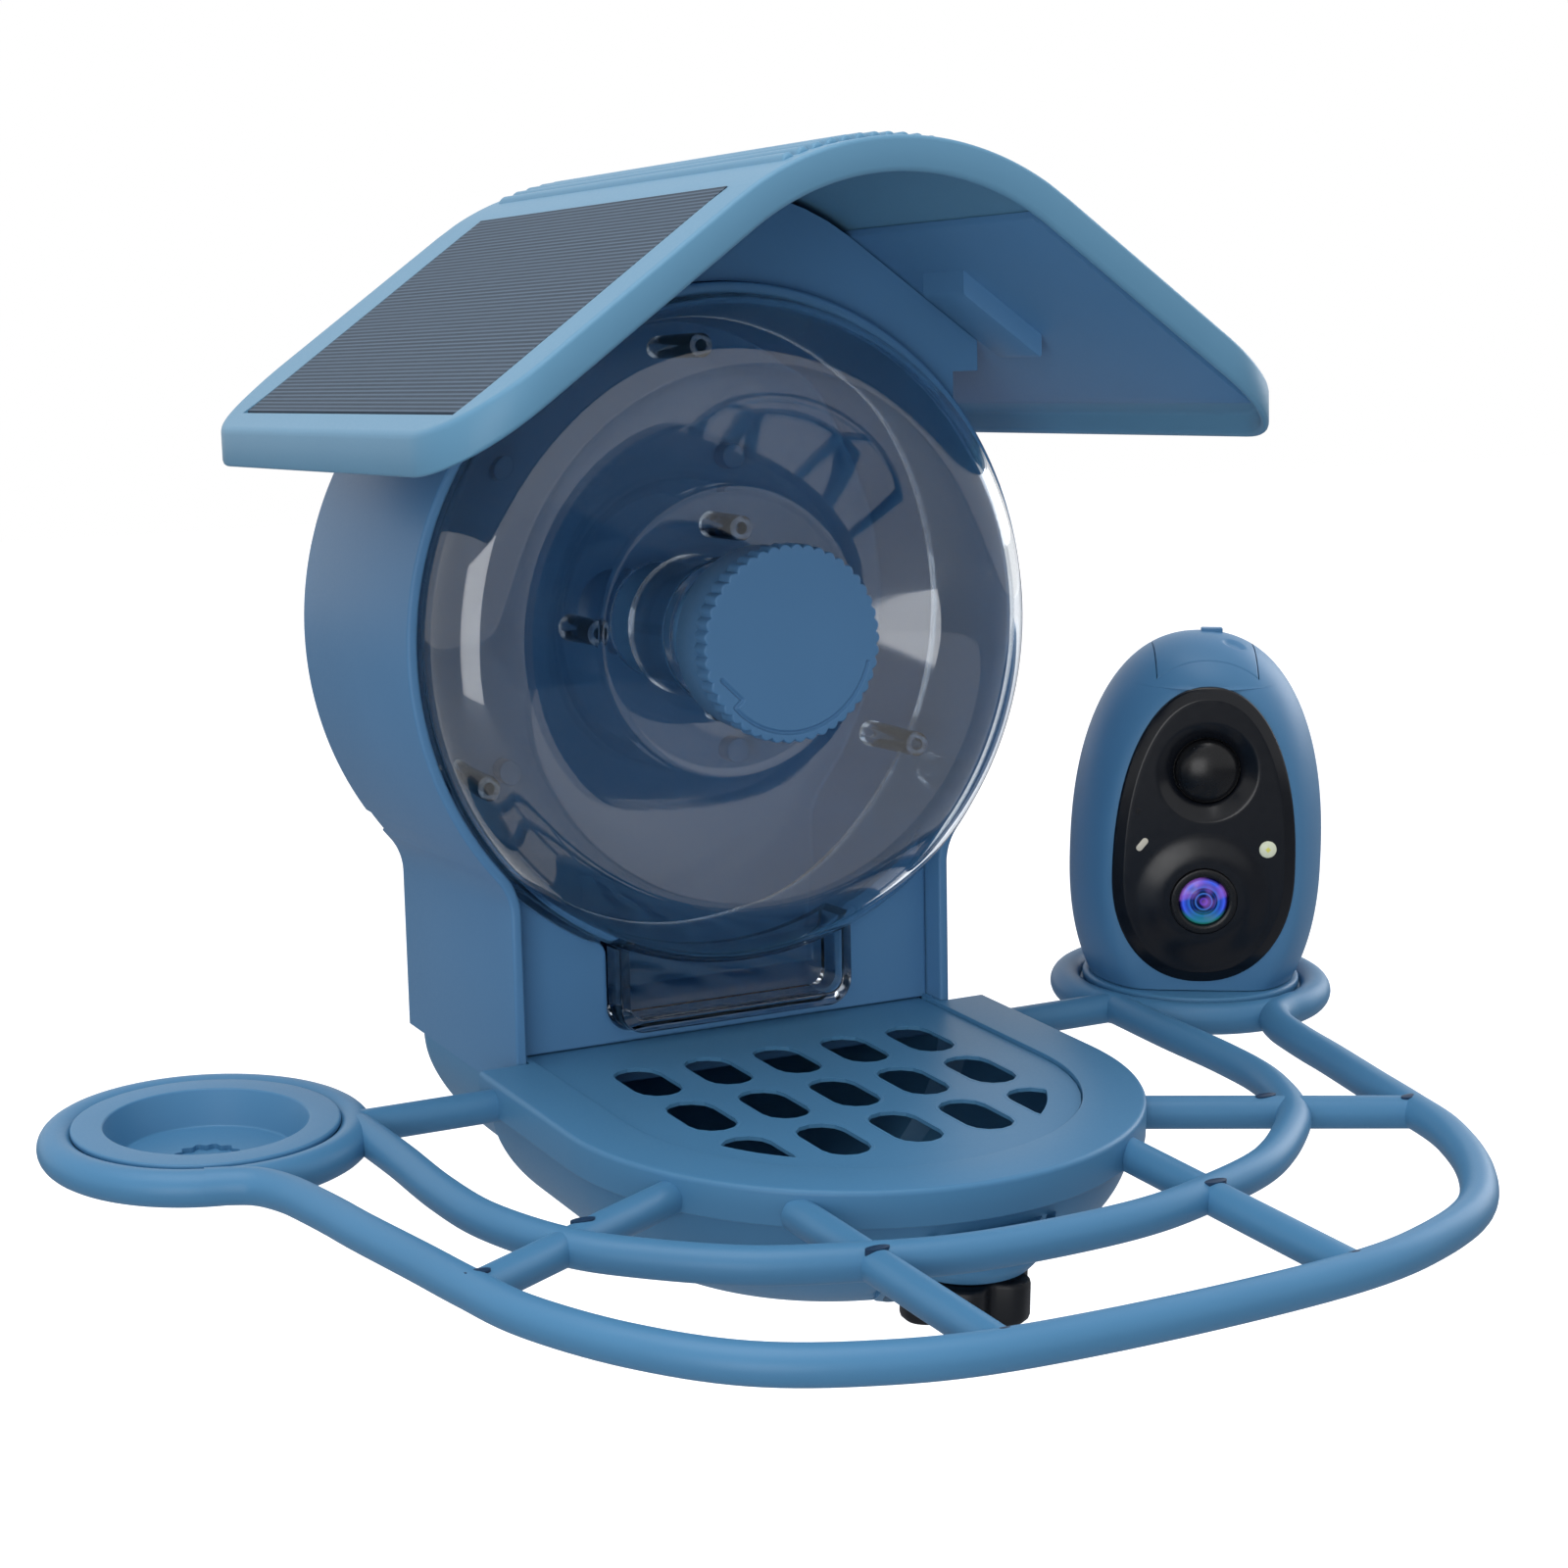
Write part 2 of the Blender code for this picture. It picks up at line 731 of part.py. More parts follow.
knob = prism("knob", lobed_outline(knob_radius, knob_lobe_height, knob_lobes, 2), 0, knob_grip_depth,
             "Y", knob_plastic, knob_pivot)
fuse(knob, rod("knob_collar", knob_collar_radius, knob_grip_depth / 2,
               knob_grip_depth + knob_collar_depth, 48, holder=knob_pivot))
cut(knob, rod("knob_socket", spindle_radius - spindle_wall, knob_grip_depth, knob_grip_depth
              + knob_collar_depth + overrun, 32, holder=knob_pivot))
knob_length = knob_grip_depth + knob_collar_depth
seal_profile = [(spindle_radius + gap, knob_length + gap), (spindle_radius + seal_lip, knob_length + gap),
                (spindle_radius + seal_lip, knob_length + gap + seal_thickness),
                (spindle_radius + gap, knob_length + gap + seal_thickness)]
turned("knob_seal", seal_profile, 40, "Y", material=black_rubber, holder=knob_pivot)

spindle_front = knob_length + gap
spindle_end = hub_front_y - gap - knob_y
spindle_neck = spindle_radius - spindle_wall - gap
spindle_profile = [(0, spindle_front - knob_collar_depth + gap),
                   (spindle_neck, spindle_front - knob_collar_depth + gap),
                   (spindle_neck, spindle_front), (spindle_radius, spindle_front),
                   (spindle_radius, spindle_end), (0, spindle_end)]
turned("lock_spindle", spindle_profile, 32, "Y", material=knob_plastic, holder=knob_pivot)


# Roof: a crowned shell with straight slopes and a flared edge, ridges on top and a skirt below
# Its frame starts at the roof's front edge and drops slightly to the back

roof_front_y = rim_y - roof_front
roof_length = roof_front + roof_back
roof_frame = frame("roof", (0, roof_front_y, roof_level), (-roof_tilt, 0, 0))


def roof_height(x, drop=0.0):
    """Height of the roof's surface at x, moved square to itself by drop."""
    reach = abs(x)
    crown = roof_crown_radius - drop
    crown_centre = roof_rise - roof_crown_radius
    tangent = crown * math.sin(roof_slope)
    if reach <= tangent:
        return crown_centre + math.sqrt(crown ** 2 - reach ** 2)
    start = crown_centre + crown * math.cos(roof_slope)
    straight_end = max(min(reach, roof_flare_start), tangent)
    height = start - (straight_end - tangent) * math.tan(roof_slope)
    if reach > roof_flare_start:
        beyond = reach - roof_flare_start
        span = roof_half_width - roof_flare_start
        fall = math.tan(roof_slope) - math.tan(roof_flare_slope)
        height -= math.tan(roof_slope) * beyond - fall * beyond ** 2 / (2 * span)
    return height


def roof_line(half, drop, steps):
    """Points on the roof's surface from left to right."""
    return [(x, roof_height(x, drop)) for x in
            (half * (2 * i / steps - 1) for i in range(steps + 1))]


def roof_slab(name, half, top_drop, bottom_drop, low, high, steps=40, material=None):
    """A slab of the roof between two depths, from one X edge to the other."""
    outline = roof_line(half, top_drop, steps) + list(reversed(roof_line(half, bottom_drop, steps)))
    return prism(name, outline, low, high, "Y", material, roof_frame)


def roof_plan(name, inset):
    """A tall block with the roof's rounded plan."""
    plan = rounded_box(roof_half_width - inset, roof_length / 2 - inset, roof_plan_corner - inset, 5,
                       (0, roof_length / 2))
    return prism(name, plan, -roof_level, roof_rise + overrun, "Z", holder=roof_frame)


roof = roof_slab("roof_shell", roof_half_width, 0, roof_skirt_drop, 0, roof_length, 41, roof_plastic)
keep_inside(roof, roof_plan("roof_outline", 0))
roof_hollow = roof_slab("roof_hollow", roof_half_width - roof_skirt_wall, roof_skin,
                        roof_skirt_drop + overrun, roof_skirt_wall, roof_length - roof_skirt_wall, 37)
keep_inside(roof_hollow, roof_plan("hollow_outline", roof_skirt_wall))
cut(roof, roof_hollow)
ridge_line = []
for i in range(ridge_count):
    x = (i - (ridge_count - 1) / 2) * ridge_pitch
    for shift, rise in ((-ridge_foot_share, 0), (-ridge_top_share, ridge_height),
                        (ridge_top_share, ridge_height), (ridge_foot_share, 0)):
        spot = x + shift * ridge_pitch
        ridge_line.append((spot, roof_height(spot) + (rise or -edge_round)))
ridge_span = ridge_line[-1][0]
ridge_line += [(ridge_span, roof_height(ridge_span, roof_skin / 2)), (0, roof_height(0, roof_skin / 2)),
               (-ridge_span, roof_height(ridge_span, roof_skin / 2))]
fuse(roof, prism("roof_ridges", ridge_line, ridge_margin, roof_length - ridge_margin, holder=roof_frame))


def slope_plate(name, side, inner, outer, top_drop, thickness, low, high, material=None):
    """A flat plate that lies along one slope of the roof, at a depth below its surface."""
    def spot(x, drop):
        middle = (solar_inner + solar_outer) / 2
        return side * x, roof_height(middle, drop) + (middle - x) * math.tan(roof_slope)
    outline = [spot(inner, top_drop), spot(outer, top_drop),
               spot(outer, top_drop + thickness), spot(inner, top_drop + thickness)]
    return prism(name, outline, low, high, "Y", material, roof_frame)


solar_low = roof_front - solar_front
solar_high = roof_front + solar_back
backing_drop = roof_skin + gap
for side, label in ((-1, "left"), (1, "right")):
    cut(roof, slope_plate(f"solar_pocket_{label}", side, solar_inner - gap, solar_outer + gap, -overrun,
                          overrun + solar_thickness + gap, solar_low - gap, solar_high + gap))
    slope_plate(f"solar_panel_{label}", side, solar_inner, solar_outer, 0, solar_thickness,
                solar_low, solar_high, cell_glass)
    backing = slope_plate(f"panel_backing_{label}", side, backing_inner, backing_outer, backing_drop,
                          backing_thickness, backing_margin, roof_length - backing_margin, body_plastic)
    fuse(backing, slope_plate(f"backing_hump_{label}", side, hump_inner, hump_outer,
                              backing_drop + backing_thickness / 2, hump_height,
                              hump_front, hump_front + hump_width))

# Roof saddle: the block between the drum and the roof, hollowed by two pockets at its ends

saddle_drop = backing_drop + backing_thickness + gap
saddle_radius = drum_radius + gap
saddle_line = [(x, roof_level + z) for x, z in roof_line(saddle_half_width, saddle_drop, 24)]
saddle_angle = math.acos(saddle_foot_half_width / saddle_radius)
saddle_line += [(saddle_half_width, saddle_ear_bottom), (saddle_foot_half_width, saddle_ear_bottom)]
saddle_line += arc((0, 0), saddle_radius, saddle_angle, math.pi - saddle_angle, 32)
saddle_line += [(-saddle_foot_half_width, saddle_ear_bottom), (-saddle_half_width, saddle_ear_bottom)]
saddle_front_y = rim_y + saddle_front
saddle = prism("roof_saddle", saddle_line, saddle_front_y, rim_y + saddle_back, "Y", body_plastic)
saddle_crest = saddle_radius + gap
for vertex in saddle.data.vertices:
    if math.hypot(vertex.co.x, vertex.co.z) > saddle_crest:
        vertex.co.z -= (vertex.co.y - roof_front_y) * math.tan(roof_tilt)

# Deck frame: everything below hangs on this sloping plane

deck = frame("deck", (0, rim_y, -deck_drop), (deck_pitch, 0, 0))


def tray_outline(half, back, steps=24):
    """A D: straight sides from the back and a half circle at the front."""
    front = arc((0, -tray_centre), half, math.pi, 2 * math.pi, steps)
    return [(-half, back)] + front + [(half, back)]


# Perch frame: the tray's flange with the struts, rails and rings that are moulded with it

tube_z = -tube_drop
ledge_top = -grille_thickness - gap
tray_back = gap + flange_depth * deck_slope
perch = prism("perch_frame", tray_outline(tray_half_width, -tray_back), -flange_depth, flange_rise, "Z",
              body_plastic, deck)


def rail(shares, half, reach):
    """Centre line of a rail over its full width, mirrored about the middle."""
    right = [(half * x, -reach * y, tube_z) for x, y in shares]
    left = [(-x, y, z) for x, y, z in reversed(right[1:])]
    return spline(left + right, 2)


def strut(name, start, end, radius, drop):
    """A straight tube between two places on the deck."""
    ends = [(*start, tube_z - drop), (*end, tube_z - drop)]
    return sweep(name, ends, radius, tube_sides, holder=deck)


fuse(perch, sweep("outer_rail", rail(outer_rail_shares, outer_rail_half_width, outer_rail_reach),
                  tube_radius, tube_sides, holder=deck),
     sweep("inner_rail", rail(inner_rail_shares, inner_rail_half_width, inner_rail_reach),
           inner_rail_radius, tube_sides, holder=deck))
for side, label in ((-1, "left"), (1, "right")):
    centre = (side * ring_offset, 0)
    ring_path = [(x, y, tube_z - strut_drop)
                 for x, y in arc(centre, ring_radius, ring_start, ring_start + math.tau, ring_steps)[:-1]]
    fuse(perch, sweep(f"ring_{label}", ring_path, ring_tube_radius, tube_sides, True, holder=deck))
    seat = -seat_drop - seat_flange_thickness - gap
    ledge_inner = ring_radius - tube_radius - ring_ledge_width
    ledge = [(ledge_inner, seat - ring_ledge_height), (ring_radius, seat - ring_ledge_height),
             (ring_radius, seat), (ledge_inner, seat)]
    fuse(perch, turned(f"ring_ledge_{label}", ledge, ledge_steps, "Z", (*centre, 0), holder=deck))
    flange_middle = tray_half_width - flange_wall / 2
    fuse(perch, strut(f"rear_strut_{label}", (side * flange_middle, -rear_strut_setback),
                      (side * inner_rail_half_width, -rear_strut_setback), strut_radius, strut_drop))
    front_start = -tray_centre - math.sqrt(flange_middle ** 2 - front_strut_offset ** 2)
    fuse(perch, strut(f"front_strut_{label}", (side * front_strut_offset, front_start),
                      (side * front_strut_offset, -front_strut_reach), strut_radius, strut_drop))
    fuse(perch, strut(f"side_strut_{label}", (side * side_strut_start[0], -side_strut_start[1]),
                      (side * side_strut_end[0], -side_strut_end[1]), strut_radius, strut_drop))
for side, label in ((-1, "left"), (1, "right")):
    low_x, high_x = sorted((side * (grille_half_width - grille_ledge), side * panel_half))
    fuse(perch, block(f"flange_tongue_{label}", (low_x, -tray_back - flange_wall, ledge_top - flange_tongue_depth),
                      (high_x, panel_setback - gap, flange_rise), holder=deck))
cut(perch,
    prism("grille_pocket", tray_outline(grille_half_width + gap, grille_reach + overrun), ledge_top, overrun, "Z",
          holder=deck),
    prism("tray_hole", tray_outline(grille_half_width - grille_ledge, overrun), -flange_depth - overrun,
          overrun, "Z", holder=deck),
    prism("flange_hollow", tray_outline(tray_half_width - flange_wall, -tray_back - flange_wall),
          -flange_depth - overrun, -flange_skin, "Z", holder=deck))

# Tray grille: the lift-out plate with rows of round-ended slots

grille = prism("tray_grille", tray_outline(grille_half_width, grille_reach), -grille_thickness, 0, "Z",
               body_plastic, deck)
slot_field = rod("slot_field", grille_half_width - slot_margin, -grille_thickness - overrun * 2, overrun * 2, 96,
                 "Z", (0, -tray_centre, 0), holder=deck)
slot_stretch = slot_length / 2 - slot_half_width
for row in range(3):
    row_y = -slot_first_row - row * slot_pitch_y
    for column in range(-2, 3):
        x = column * slot_pitch_x
        outline = arc((x, row_y + slot_stretch), slot_half_width, 0, math.pi, 6)
        outline += arc((x, row_y - slot_stretch), slot_half_width, math.pi, 2 * math.pi, 6)
        slot = prism(f"slot_{row}_{column}", outline, -grille_thickness - overrun, overrun, "Z", holder=deck)
        if row_y < -tray_centre:
            keep_inside(slot, slot_field)
        cut(grille, slot)

# Base bowl: the deep scoop under the tray and the pedestal, with its boss


def bowl_ring(inset, share):
    """One level of the bowl: the plan drawn in towards its middle, as a rounded scoop.

    The plan is the tray's D at the front and the pedestal's rectangle behind. At the share s of
    the depth it shrinks by (1 - s^n)^(1/n), where n is the bowl's exponent.
    """
    half = tray_half_width - bowl_inset - inset
    rear = pedestal_half_width - inset
    back = drum_depth - inset
    corner = pedestal_fillet - inset
    right = [(half, -gap * 2 - inset), (rear, -inset)]
    right += arc((rear - corner, back - corner), corner, 0, math.pi / 2, 3)
    plan = arc((0, -tray_centre), half, math.pi, 2 * math.pi, 18)
    plan += right + [(-x, y) for x, y in reversed(right)]
    draw = (1 - share ** bowl_exponent) ** (1 / bowl_exponent)
    level = -flange_depth - gap - share * (bowl_depth - inset)
    return [(x * draw, -bowl_centre + (y + bowl_centre) * draw, level) for x, y in plan]


bowl_points = []
bowl_shares = [math.sin(math.pi / 2 * i / bowl_levels) for i in range(bowl_levels)]
for share in bowl_shares:
    bowl_points += bowl_ring(0, share)
outer_pole = len(bowl_points)
bowl_points.append((0, -bowl_centre, -flange_depth - gap - bowl_depth))
inner_start = len(bowl_points)
for share in bowl_shares:
    bowl_points += bowl_ring(bowl_wall, share)
inner_pole = len(bowl_points)
bowl_points.append((0, -bowl_centre, -flange_depth - gap - bowl_depth + bowl_wall))
around = outer_pole // bowl_levels
bowl_faces = []
for i in range(around):
    j = (i + 1) % around
    for start in (0, inner_start):
        for level in range(bowl_levels - 1):
            a = start + level * around
            b = a + around
            bowl_faces.append((a + i, a + j, b + j, b + i))
    last = (bowl_levels - 1) * around
    bowl_faces.append((last + i, last + j, outer_pole))
    bowl_faces.append((inner_start + last + i, inner_start + last + j, inner_pole))
    bowl_faces.append((i, j, inner_start + j, inner_start + i))
bowl = solid("base_bowl", bowl_points, bowl_faces, body_plastic, deck)
boss_centre = (0, -boss_setback, 0)
insert_top = -boss_bottom + insert_length + gap
blank_points = []
for share in bowl_shares:
    blank_points += bowl_ring(bowl_wall / 2, share)
blank_points.append((0, -bowl_centre, -flange_depth - gap - bowl_depth + bowl_wall / 2))
blank_faces = [tuple(range(around))] + [face for face in bowl_faces if max(face) <= outer_pole]
blank = solid("bowl_blank", blank_points, blank_faces, holder=deck)
well_wall = rod("well_wall", well_radius + well_thickness, -boss_bottom - bowl_depth, -boss_top, 36, "Z",
                boss_centre, holder=deck)
keep_inside(well_wall, blank)
boss_profile = [(0, -boss_bottom - gap), (boss_radius - boss_edge, -boss_bottom - gap),
                (boss_radius, -boss_bottom + boss_edge), (boss_radius, -boss_top + gap),
                (0, -boss_top + gap)]
fuse(bowl, well_wall, turned("boss", boss_profile, 32, "Z", boss_centre, holder=deck))
cut(bowl, rod("clamp_well", well_radius, -boss_bottom - bowl_depth, -boss_bottom, 40, "Z", boss_centre,
              holder=deck))
cut(bowl, rod("insert_pocket", insert_radius + gap, -boss_bottom - overrun, insert_top, 20, "Z", boss_centre,
              holder=deck))
insert_bore = clamp_stud_radius + gap
insert_profile = [(insert_bore, -boss_bottom), (insert_radius, -boss_bottom),
                  (insert_radius, -boss_bottom + insert_length), (insert_bore, -boss_bottom + insert_length)]
turned("threaded_insert", insert_profile, 20, "Z", boss_centre, brass, deck)

# Thumb screw and the washer that travels with it

washer_axis = frame("washer_axis", (0, -boss_setback, -boss_bottom - gap), holder=deck)
washer_profile = [(insert_bore, -washer_thickness), (washer_radius, -washer_thickness),
                  (washer_radius, 0), (insert_bore, 0)]
turned("thumb_washer", washer_profile, 32, "Z", material=body_plastic, holder=washer_axis)
clamp_top = -washer_thickness - gap
clamp = prism("thumb_screw", lobed_outline(clamp_radius, clamp_lobe_height, clamp_lobes, 6),
              clamp_top - clamp_height, clamp_top, "Z", black_matte, washer_axis)
fuse(clamp, rod("thumb_stud", clamp_stud_radius, clamp_top - clamp_height / 2, clamp_stud_length,
                16, "Z", holder=washer_axis))


# Seed cup and camera base: the same seat, one hollow and one flat on top

def seat_profile(top, hollow):
    """Half section of a piece that drops into a ring and rests on its ledge."""
    bottom = -seat_depth
    under = top - seat_flange_thickness
    outer = [(0, bottom), (seat_body_radius - edge_round, bottom),
             (seat_body_radius, bottom + edge_round), (seat_body_radius, under),
             (seat_flange_radius, under), (seat_flange_radius, top - edge_round),
             (seat_flange_radius - edge_round, top)]
    if hollow:
        floor = top - cup_floor_depth
        return outer + [(cup_opening_radius, top), (cup_floor_radius, floor + edge_round),
                        (cup_floor_radius - edge_round, floor), (0, floor)]
    return outer + [(0, top)]


cup_axis = frame("cup_axis", (-ring_offset, 0, 0), holder=deck)
cup = turned("seed_cup", seat_profile(-seat_drop, True), 36, "Z", material=body_plastic,
             holder=cup_axis)
socket_floor = -seat_drop - cup_floor_depth - socket_depth
cut(cup,
    prism("cup_socket", lobed_outline(socket_radius, socket_tooth_height, socket_teeth, 2),
          socket_floor, 0, "Z", holder=cup_axis))

camera_seat = frame("camera_seat", (ring_offset, 0, 0), holder=deck)
base = turned("camera_base", seat_profile(-seat_drop, False), 32, "Z", material=body_plastic,
              holder=camera_seat)
base_head_top = -seat_depth + base_screw_head_height
cut(base,
    rod("base_screw_sink", base_screw_head_radius + gap, -seat_depth - overrun, base_head_top + gap,
        24, "Z", holder=camera_seat),
    rod("base_screw_hole", base_screw_shank_radius + gap, base_head_top, overrun,
        16, "Z", holder=camera_seat))
base_screw_profile = [(0, -seat_depth), (base_screw_head_radius, -seat_depth),
                      (base_screw_head_radius, base_head_top), (base_screw_shank_radius, base_head_top),
                      (base_screw_shank_radius, base_head_top + base_screw_shank_length),
                      (0, base_head_top + base_screw_shank_length)]
turned("camera_base_screw", base_screw_profile, 20, "Z", material=steel, holder=camera_seat)

# Camera: an egg cut flat at the front, turned on its base

camera = frame("camera_axis", (0, 0, -seat_drop + gap), (0, 0, camera_turn), camera_seat)


def egg_reach(height, inset=0.0):
    """Radius of the egg at a height above the base."""
    span = (egg_crown_height if height > egg_waist else egg_root_height) - inset
    share = min(abs(height - egg_waist) / span, 1.0)
    return (egg_radius - inset) * (1 - share ** egg_exponent) ** (1 / egg_exponent)


def egg_profile(inset, low, rings):
    """Half section of the egg from a flat foot to its crown."""
    top = egg_waist + egg_crown_height - inset
    spots = [(0, low)]
    for i in range(rings):
        share = math.sin(math.pi / 2 * i / rings)
        height = low + (top - low) * share
        spots.append((egg_reach(height, inset), height))
    spots.append((0, top))
    return spots


def oval(half, waist, crown, root, grow=0.0, steps=40):
    """The face's egg-shaped outline."""
    spots = []
    for i in range(steps):
        angle = math.tau * i / steps
        u = math.copysign(abs(math.cos(angle)) ** (2 / face_exponent), math.cos(angle))
        v = math.copysign(abs(math.sin(angle)) ** (2 / face_exponent), math.sin(angle))
        spots.append((u * (half + grow), waist + v * ((crown if v > 0 else root) + grow)))
    return spots


def face_oval(grow):
    return oval(face_half_width, face_waist, face_crown_height, face_root_height, grow)


face_back = -face_plane + face_thickness
seal_back = face_back + gap + face_seal_thickness
shell_front = -face_plane + edge_round
shell = turned("camera_shell", egg_profile(0, 0, egg_rings), egg_steps, "Z",
               material=body_plastic, holder=camera)
cut(shell,
    turned("shell_hollow", egg_profile(egg_wall, egg_wall, egg_rings - 3), egg_steps - 8, "Z",
           holder=camera),
    block("shell_cut", (-egg_radius - overrun, -egg_radius - overrun, -overrun),
          (egg_radius + overrun, shell_front, egg_waist + egg_crown_height + overrun), holder=camera),
    prism("face_pocket", face_oval(gap), -egg_radius, seal_back + gap, holder=camera),
    rod("shell_screw_hole", base_screw_shank_radius + gap, -overrun, egg_wall + overrun, 16, "Z",
        holder=camera))

face = prism("camera_face", face_oval(0), -face_plane, face_back, "Y", black_gloss, camera)
pir_centre = (0, 0, pir_height)
lens_centre = (0, 0, lens_height)
pir_seat = face_back - pir_flange_thickness
recess_profile = [(0, -face_plane - edge_round),
                  (pir_recess_radius + edge_round, -face_plane - edge_round),
                  (pir_dome_radius + gap, pir_seat), (pir_dome_radius + gap, face_back + overrun),
                  (0, face_back + overrun)]
cut(face,
    turned("pir_recess", recess_profile, 32, "Y", pir_centre, holder=camera),
    rod("lens_window", lens_glass_radius + lens_barrel_wall + gap, -face_plane - overrun,
        face_back + overrun, 32, "Y", lens_centre, holder=camera),
    rod("led_window", led_radius + gap, -face_plane - overrun, face_back + overrun, 16, "Y",
        (led_offset, 0, led_height), holder=camera),
    rod("mic_hole", mic_bore, -face_plane - overrun, face_back + overrun, 8, "Y",
        (-mic_offset, 0, mic_height), holder=camera))


def capsule(half_width, half_length, tilt, centre, steps=5):
    """A narrow outline with round ends, turned by tilt."""
    spots = arc((0, half_length - half_width), half_width, 0, math.pi, steps)
    spots += arc((0, half_width - half_length), half_width, math.pi, 2 * math.pi, steps)
    turned_spots = []
    for x, z in spots:
        turned_spots.append((centre[0] + x * math.cos(tilt) - z * math.sin(tilt),
                             centre[1] + x * math.sin(tilt) + z * math.cos(tilt)))
    return turned_spots


status_spot = (-status_offset, status_height)
status_hole = capsule(status_half_width + gap, status_half_length + gap, status_tilt, status_spot)
cut(face, prism("status_window", status_hole, -face_plane - overrun, face_back + overrun, holder=camera))

# Camera front: seal, motion sensor, lens and lights, each seated in the face or on the board

seal_outer = face_oval(-gap)
seal = prism("face_seal", seal_outer, face_back + gap, seal_back, "Y", black_rubber, camera)
cut(seal, prism("seal_hole", face_oval(-face_seal_width), face_back, seal_back + overrun, holder=camera))

board_front = -board_setback
dome_profile_points = [(0, pir_seat - pir_dome_bulge)]
for i in range(1, 6):
    angle = math.pi / 2 * i / 5
    dome_profile_points.append((pir_dome_radius * math.sin(angle),
                                pir_seat - pir_dome_bulge * math.cos(angle)))
dome_profile_points += [(pir_dome_radius, face_back), (pir_dome_radius + gap + edge_round, face_back + gap),
                        (pir_dome_radius + gap + edge_round, face_back + gap + pir_flange_thickness),
                        (0, face_back + gap + pir_flange_thickness)]
turned("pir_dome", dome_profile_points, 28, "Y", pir_centre, black_gloss, camera)
pir_can_front = face_back + gap * 2 + pir_flange_thickness
rod("pir_sensor", pir_sensor_radius, pir_can_front, board_front - gap, 16, "Y", pir_centre, steel, camera)

barrel_radius = lens_glass_radius + lens_barrel_wall
barrel_bore = lens_glass_radius - lens_barrel_wall
barrel_front = -face_plane + gap
glass_back = barrel_front + lens_glass_thickness + gap
barrel_profile = [(lens_glass_radius + gap, barrel_front), (barrel_radius, barrel_front),
                  (barrel_radius, board_front - gap), (barrel_bore, board_front - gap),
                  (barrel_bore, glass_back), (lens_glass_radius + gap, glass_back)]
turned("lens_barrel", barrel_profile, 28, "Y", lens_centre, black_matte, camera)
rod("lens_glass", lens_glass_radius, barrel_front, barrel_front + lens_glass_thickness,
    28, "Y", lens_centre, lens_glass_look, camera)
bezel_front = -face_plane - lens_ring_height
bezel_profile = [(lens_glass_radius, bezel_front), (lens_ring_radius, bezel_front),
                 (lens_ring_radius, -face_plane - gap), (lens_glass_radius, -face_plane - gap)]
turned("lens_bezel", bezel_profile, 28, "Y", lens_centre, black_gloss, camera)
block("image_sensor",
      (-sensor_half_width, board_front - gap - sensor_thickness, lens_height - sensor_half_width),
      (sensor_half_width, board_front - gap, lens_height + sensor_half_width), black_matte, camera)
rod("led_lens", led_radius, -face_plane + gap, board_front - gap, 16, "Y", (led_offset, 0, led_height),
    lamp_white, camera)
prism("status_light", capsule(status_half_width, status_half_length, status_tilt, status_spot),
      -face_plane + gap, board_front - gap, "Y", lamp_white, camera)
mic_profile = [(mic_bore, face_back + gap), (mic_radius, face_back + gap), (mic_radius, board_front - gap),
               (mic_bore, board_front - gap)]
turned("mic_grommet", mic_profile, 12, "Y", (-mic_offset, 0, mic_height), black_rubber, camera)

# Camera inside: boards, battery in its cradle, speaker

board_back = board_front + board_thickness
board_outline = [(-board_half_width, board_bottom), (board_half_width, board_bottom),
                 (board_half_width, board_neck_height), (board_neck_half_width, board_top),
                 (-board_neck_half_width, board_top), (-board_half_width, board_neck_height)]
prism("main_board", board_outline, board_front, board_back, "Y", board_green, camera)
battery_y = board_back + battery_setback
rod("battery", battery_radius, battery_bottom, battery_bottom + battery_length, 24, "Z", (0, battery_y, 0),
    battery_wrap, camera)
cradle_low = battery_bottom + (battery_length - cradle_length) / 2
cradle = block("battery_cradle", (-cradle_half_width, board_back + gap, cradle_low),
               (cradle_half_width, battery_y - battery_radius / 3, cradle_low + cradle_length),
               black_matte, camera)
cut(cradle, rod("cradle_channel", battery_radius + gap, cradle_low - overrun,
                cradle_low + cradle_length + overrun, 24, "Z", (0, battery_y, 0), holder=camera))
rod("speaker", speaker_radius, egg_wall + gap, egg_wall + gap + speaker_thickness, 24, "Z",
    (0, speaker_setback, 0), black_matte, camera)

# Camera top: the flap and the charging port, the two buttons and their switches that it covers


def egg_height(reach, inset=0.0):
    """Height of the egg's upper skin at a distance from its axis."""
    share = abs(reach) / (egg_radius - inset)
    return egg_waist + (egg_crown_height - inset) * (1 - share ** egg_exponent) ** (1 / egg_exponent)


def egg_skin(name, top_inset, bottom_inset, grow, holder, origin=(0, 0, 0), material=None):
    """A piece of the egg's skin over the flap's plan, between two depths."""
    shift = [-a for a in origin]
    skin = turned(name, egg_profile(top_inset, egg_waist, egg_rings), egg_steps, "Z", shift,
                  material, holder)
    cut(skin, turned(name + "_under", egg_profile(bottom_inset, egg_waist - overrun, egg_rings),
                     egg_steps, "Z", shift, holder=holder))
    low = (-flap_half_width - grow, -flap_front - grow, egg_waist + overrun)
    high = (flap_half_width + grow, flap_back + grow, egg_waist + egg_crown_height + overrun * 2)
    keep_inside(skin, block(name + "_plan", [a + b for a, b in zip(low, shift)],
                            [a + b for a, b in zip(high, shift)], holder=holder))
    return skin


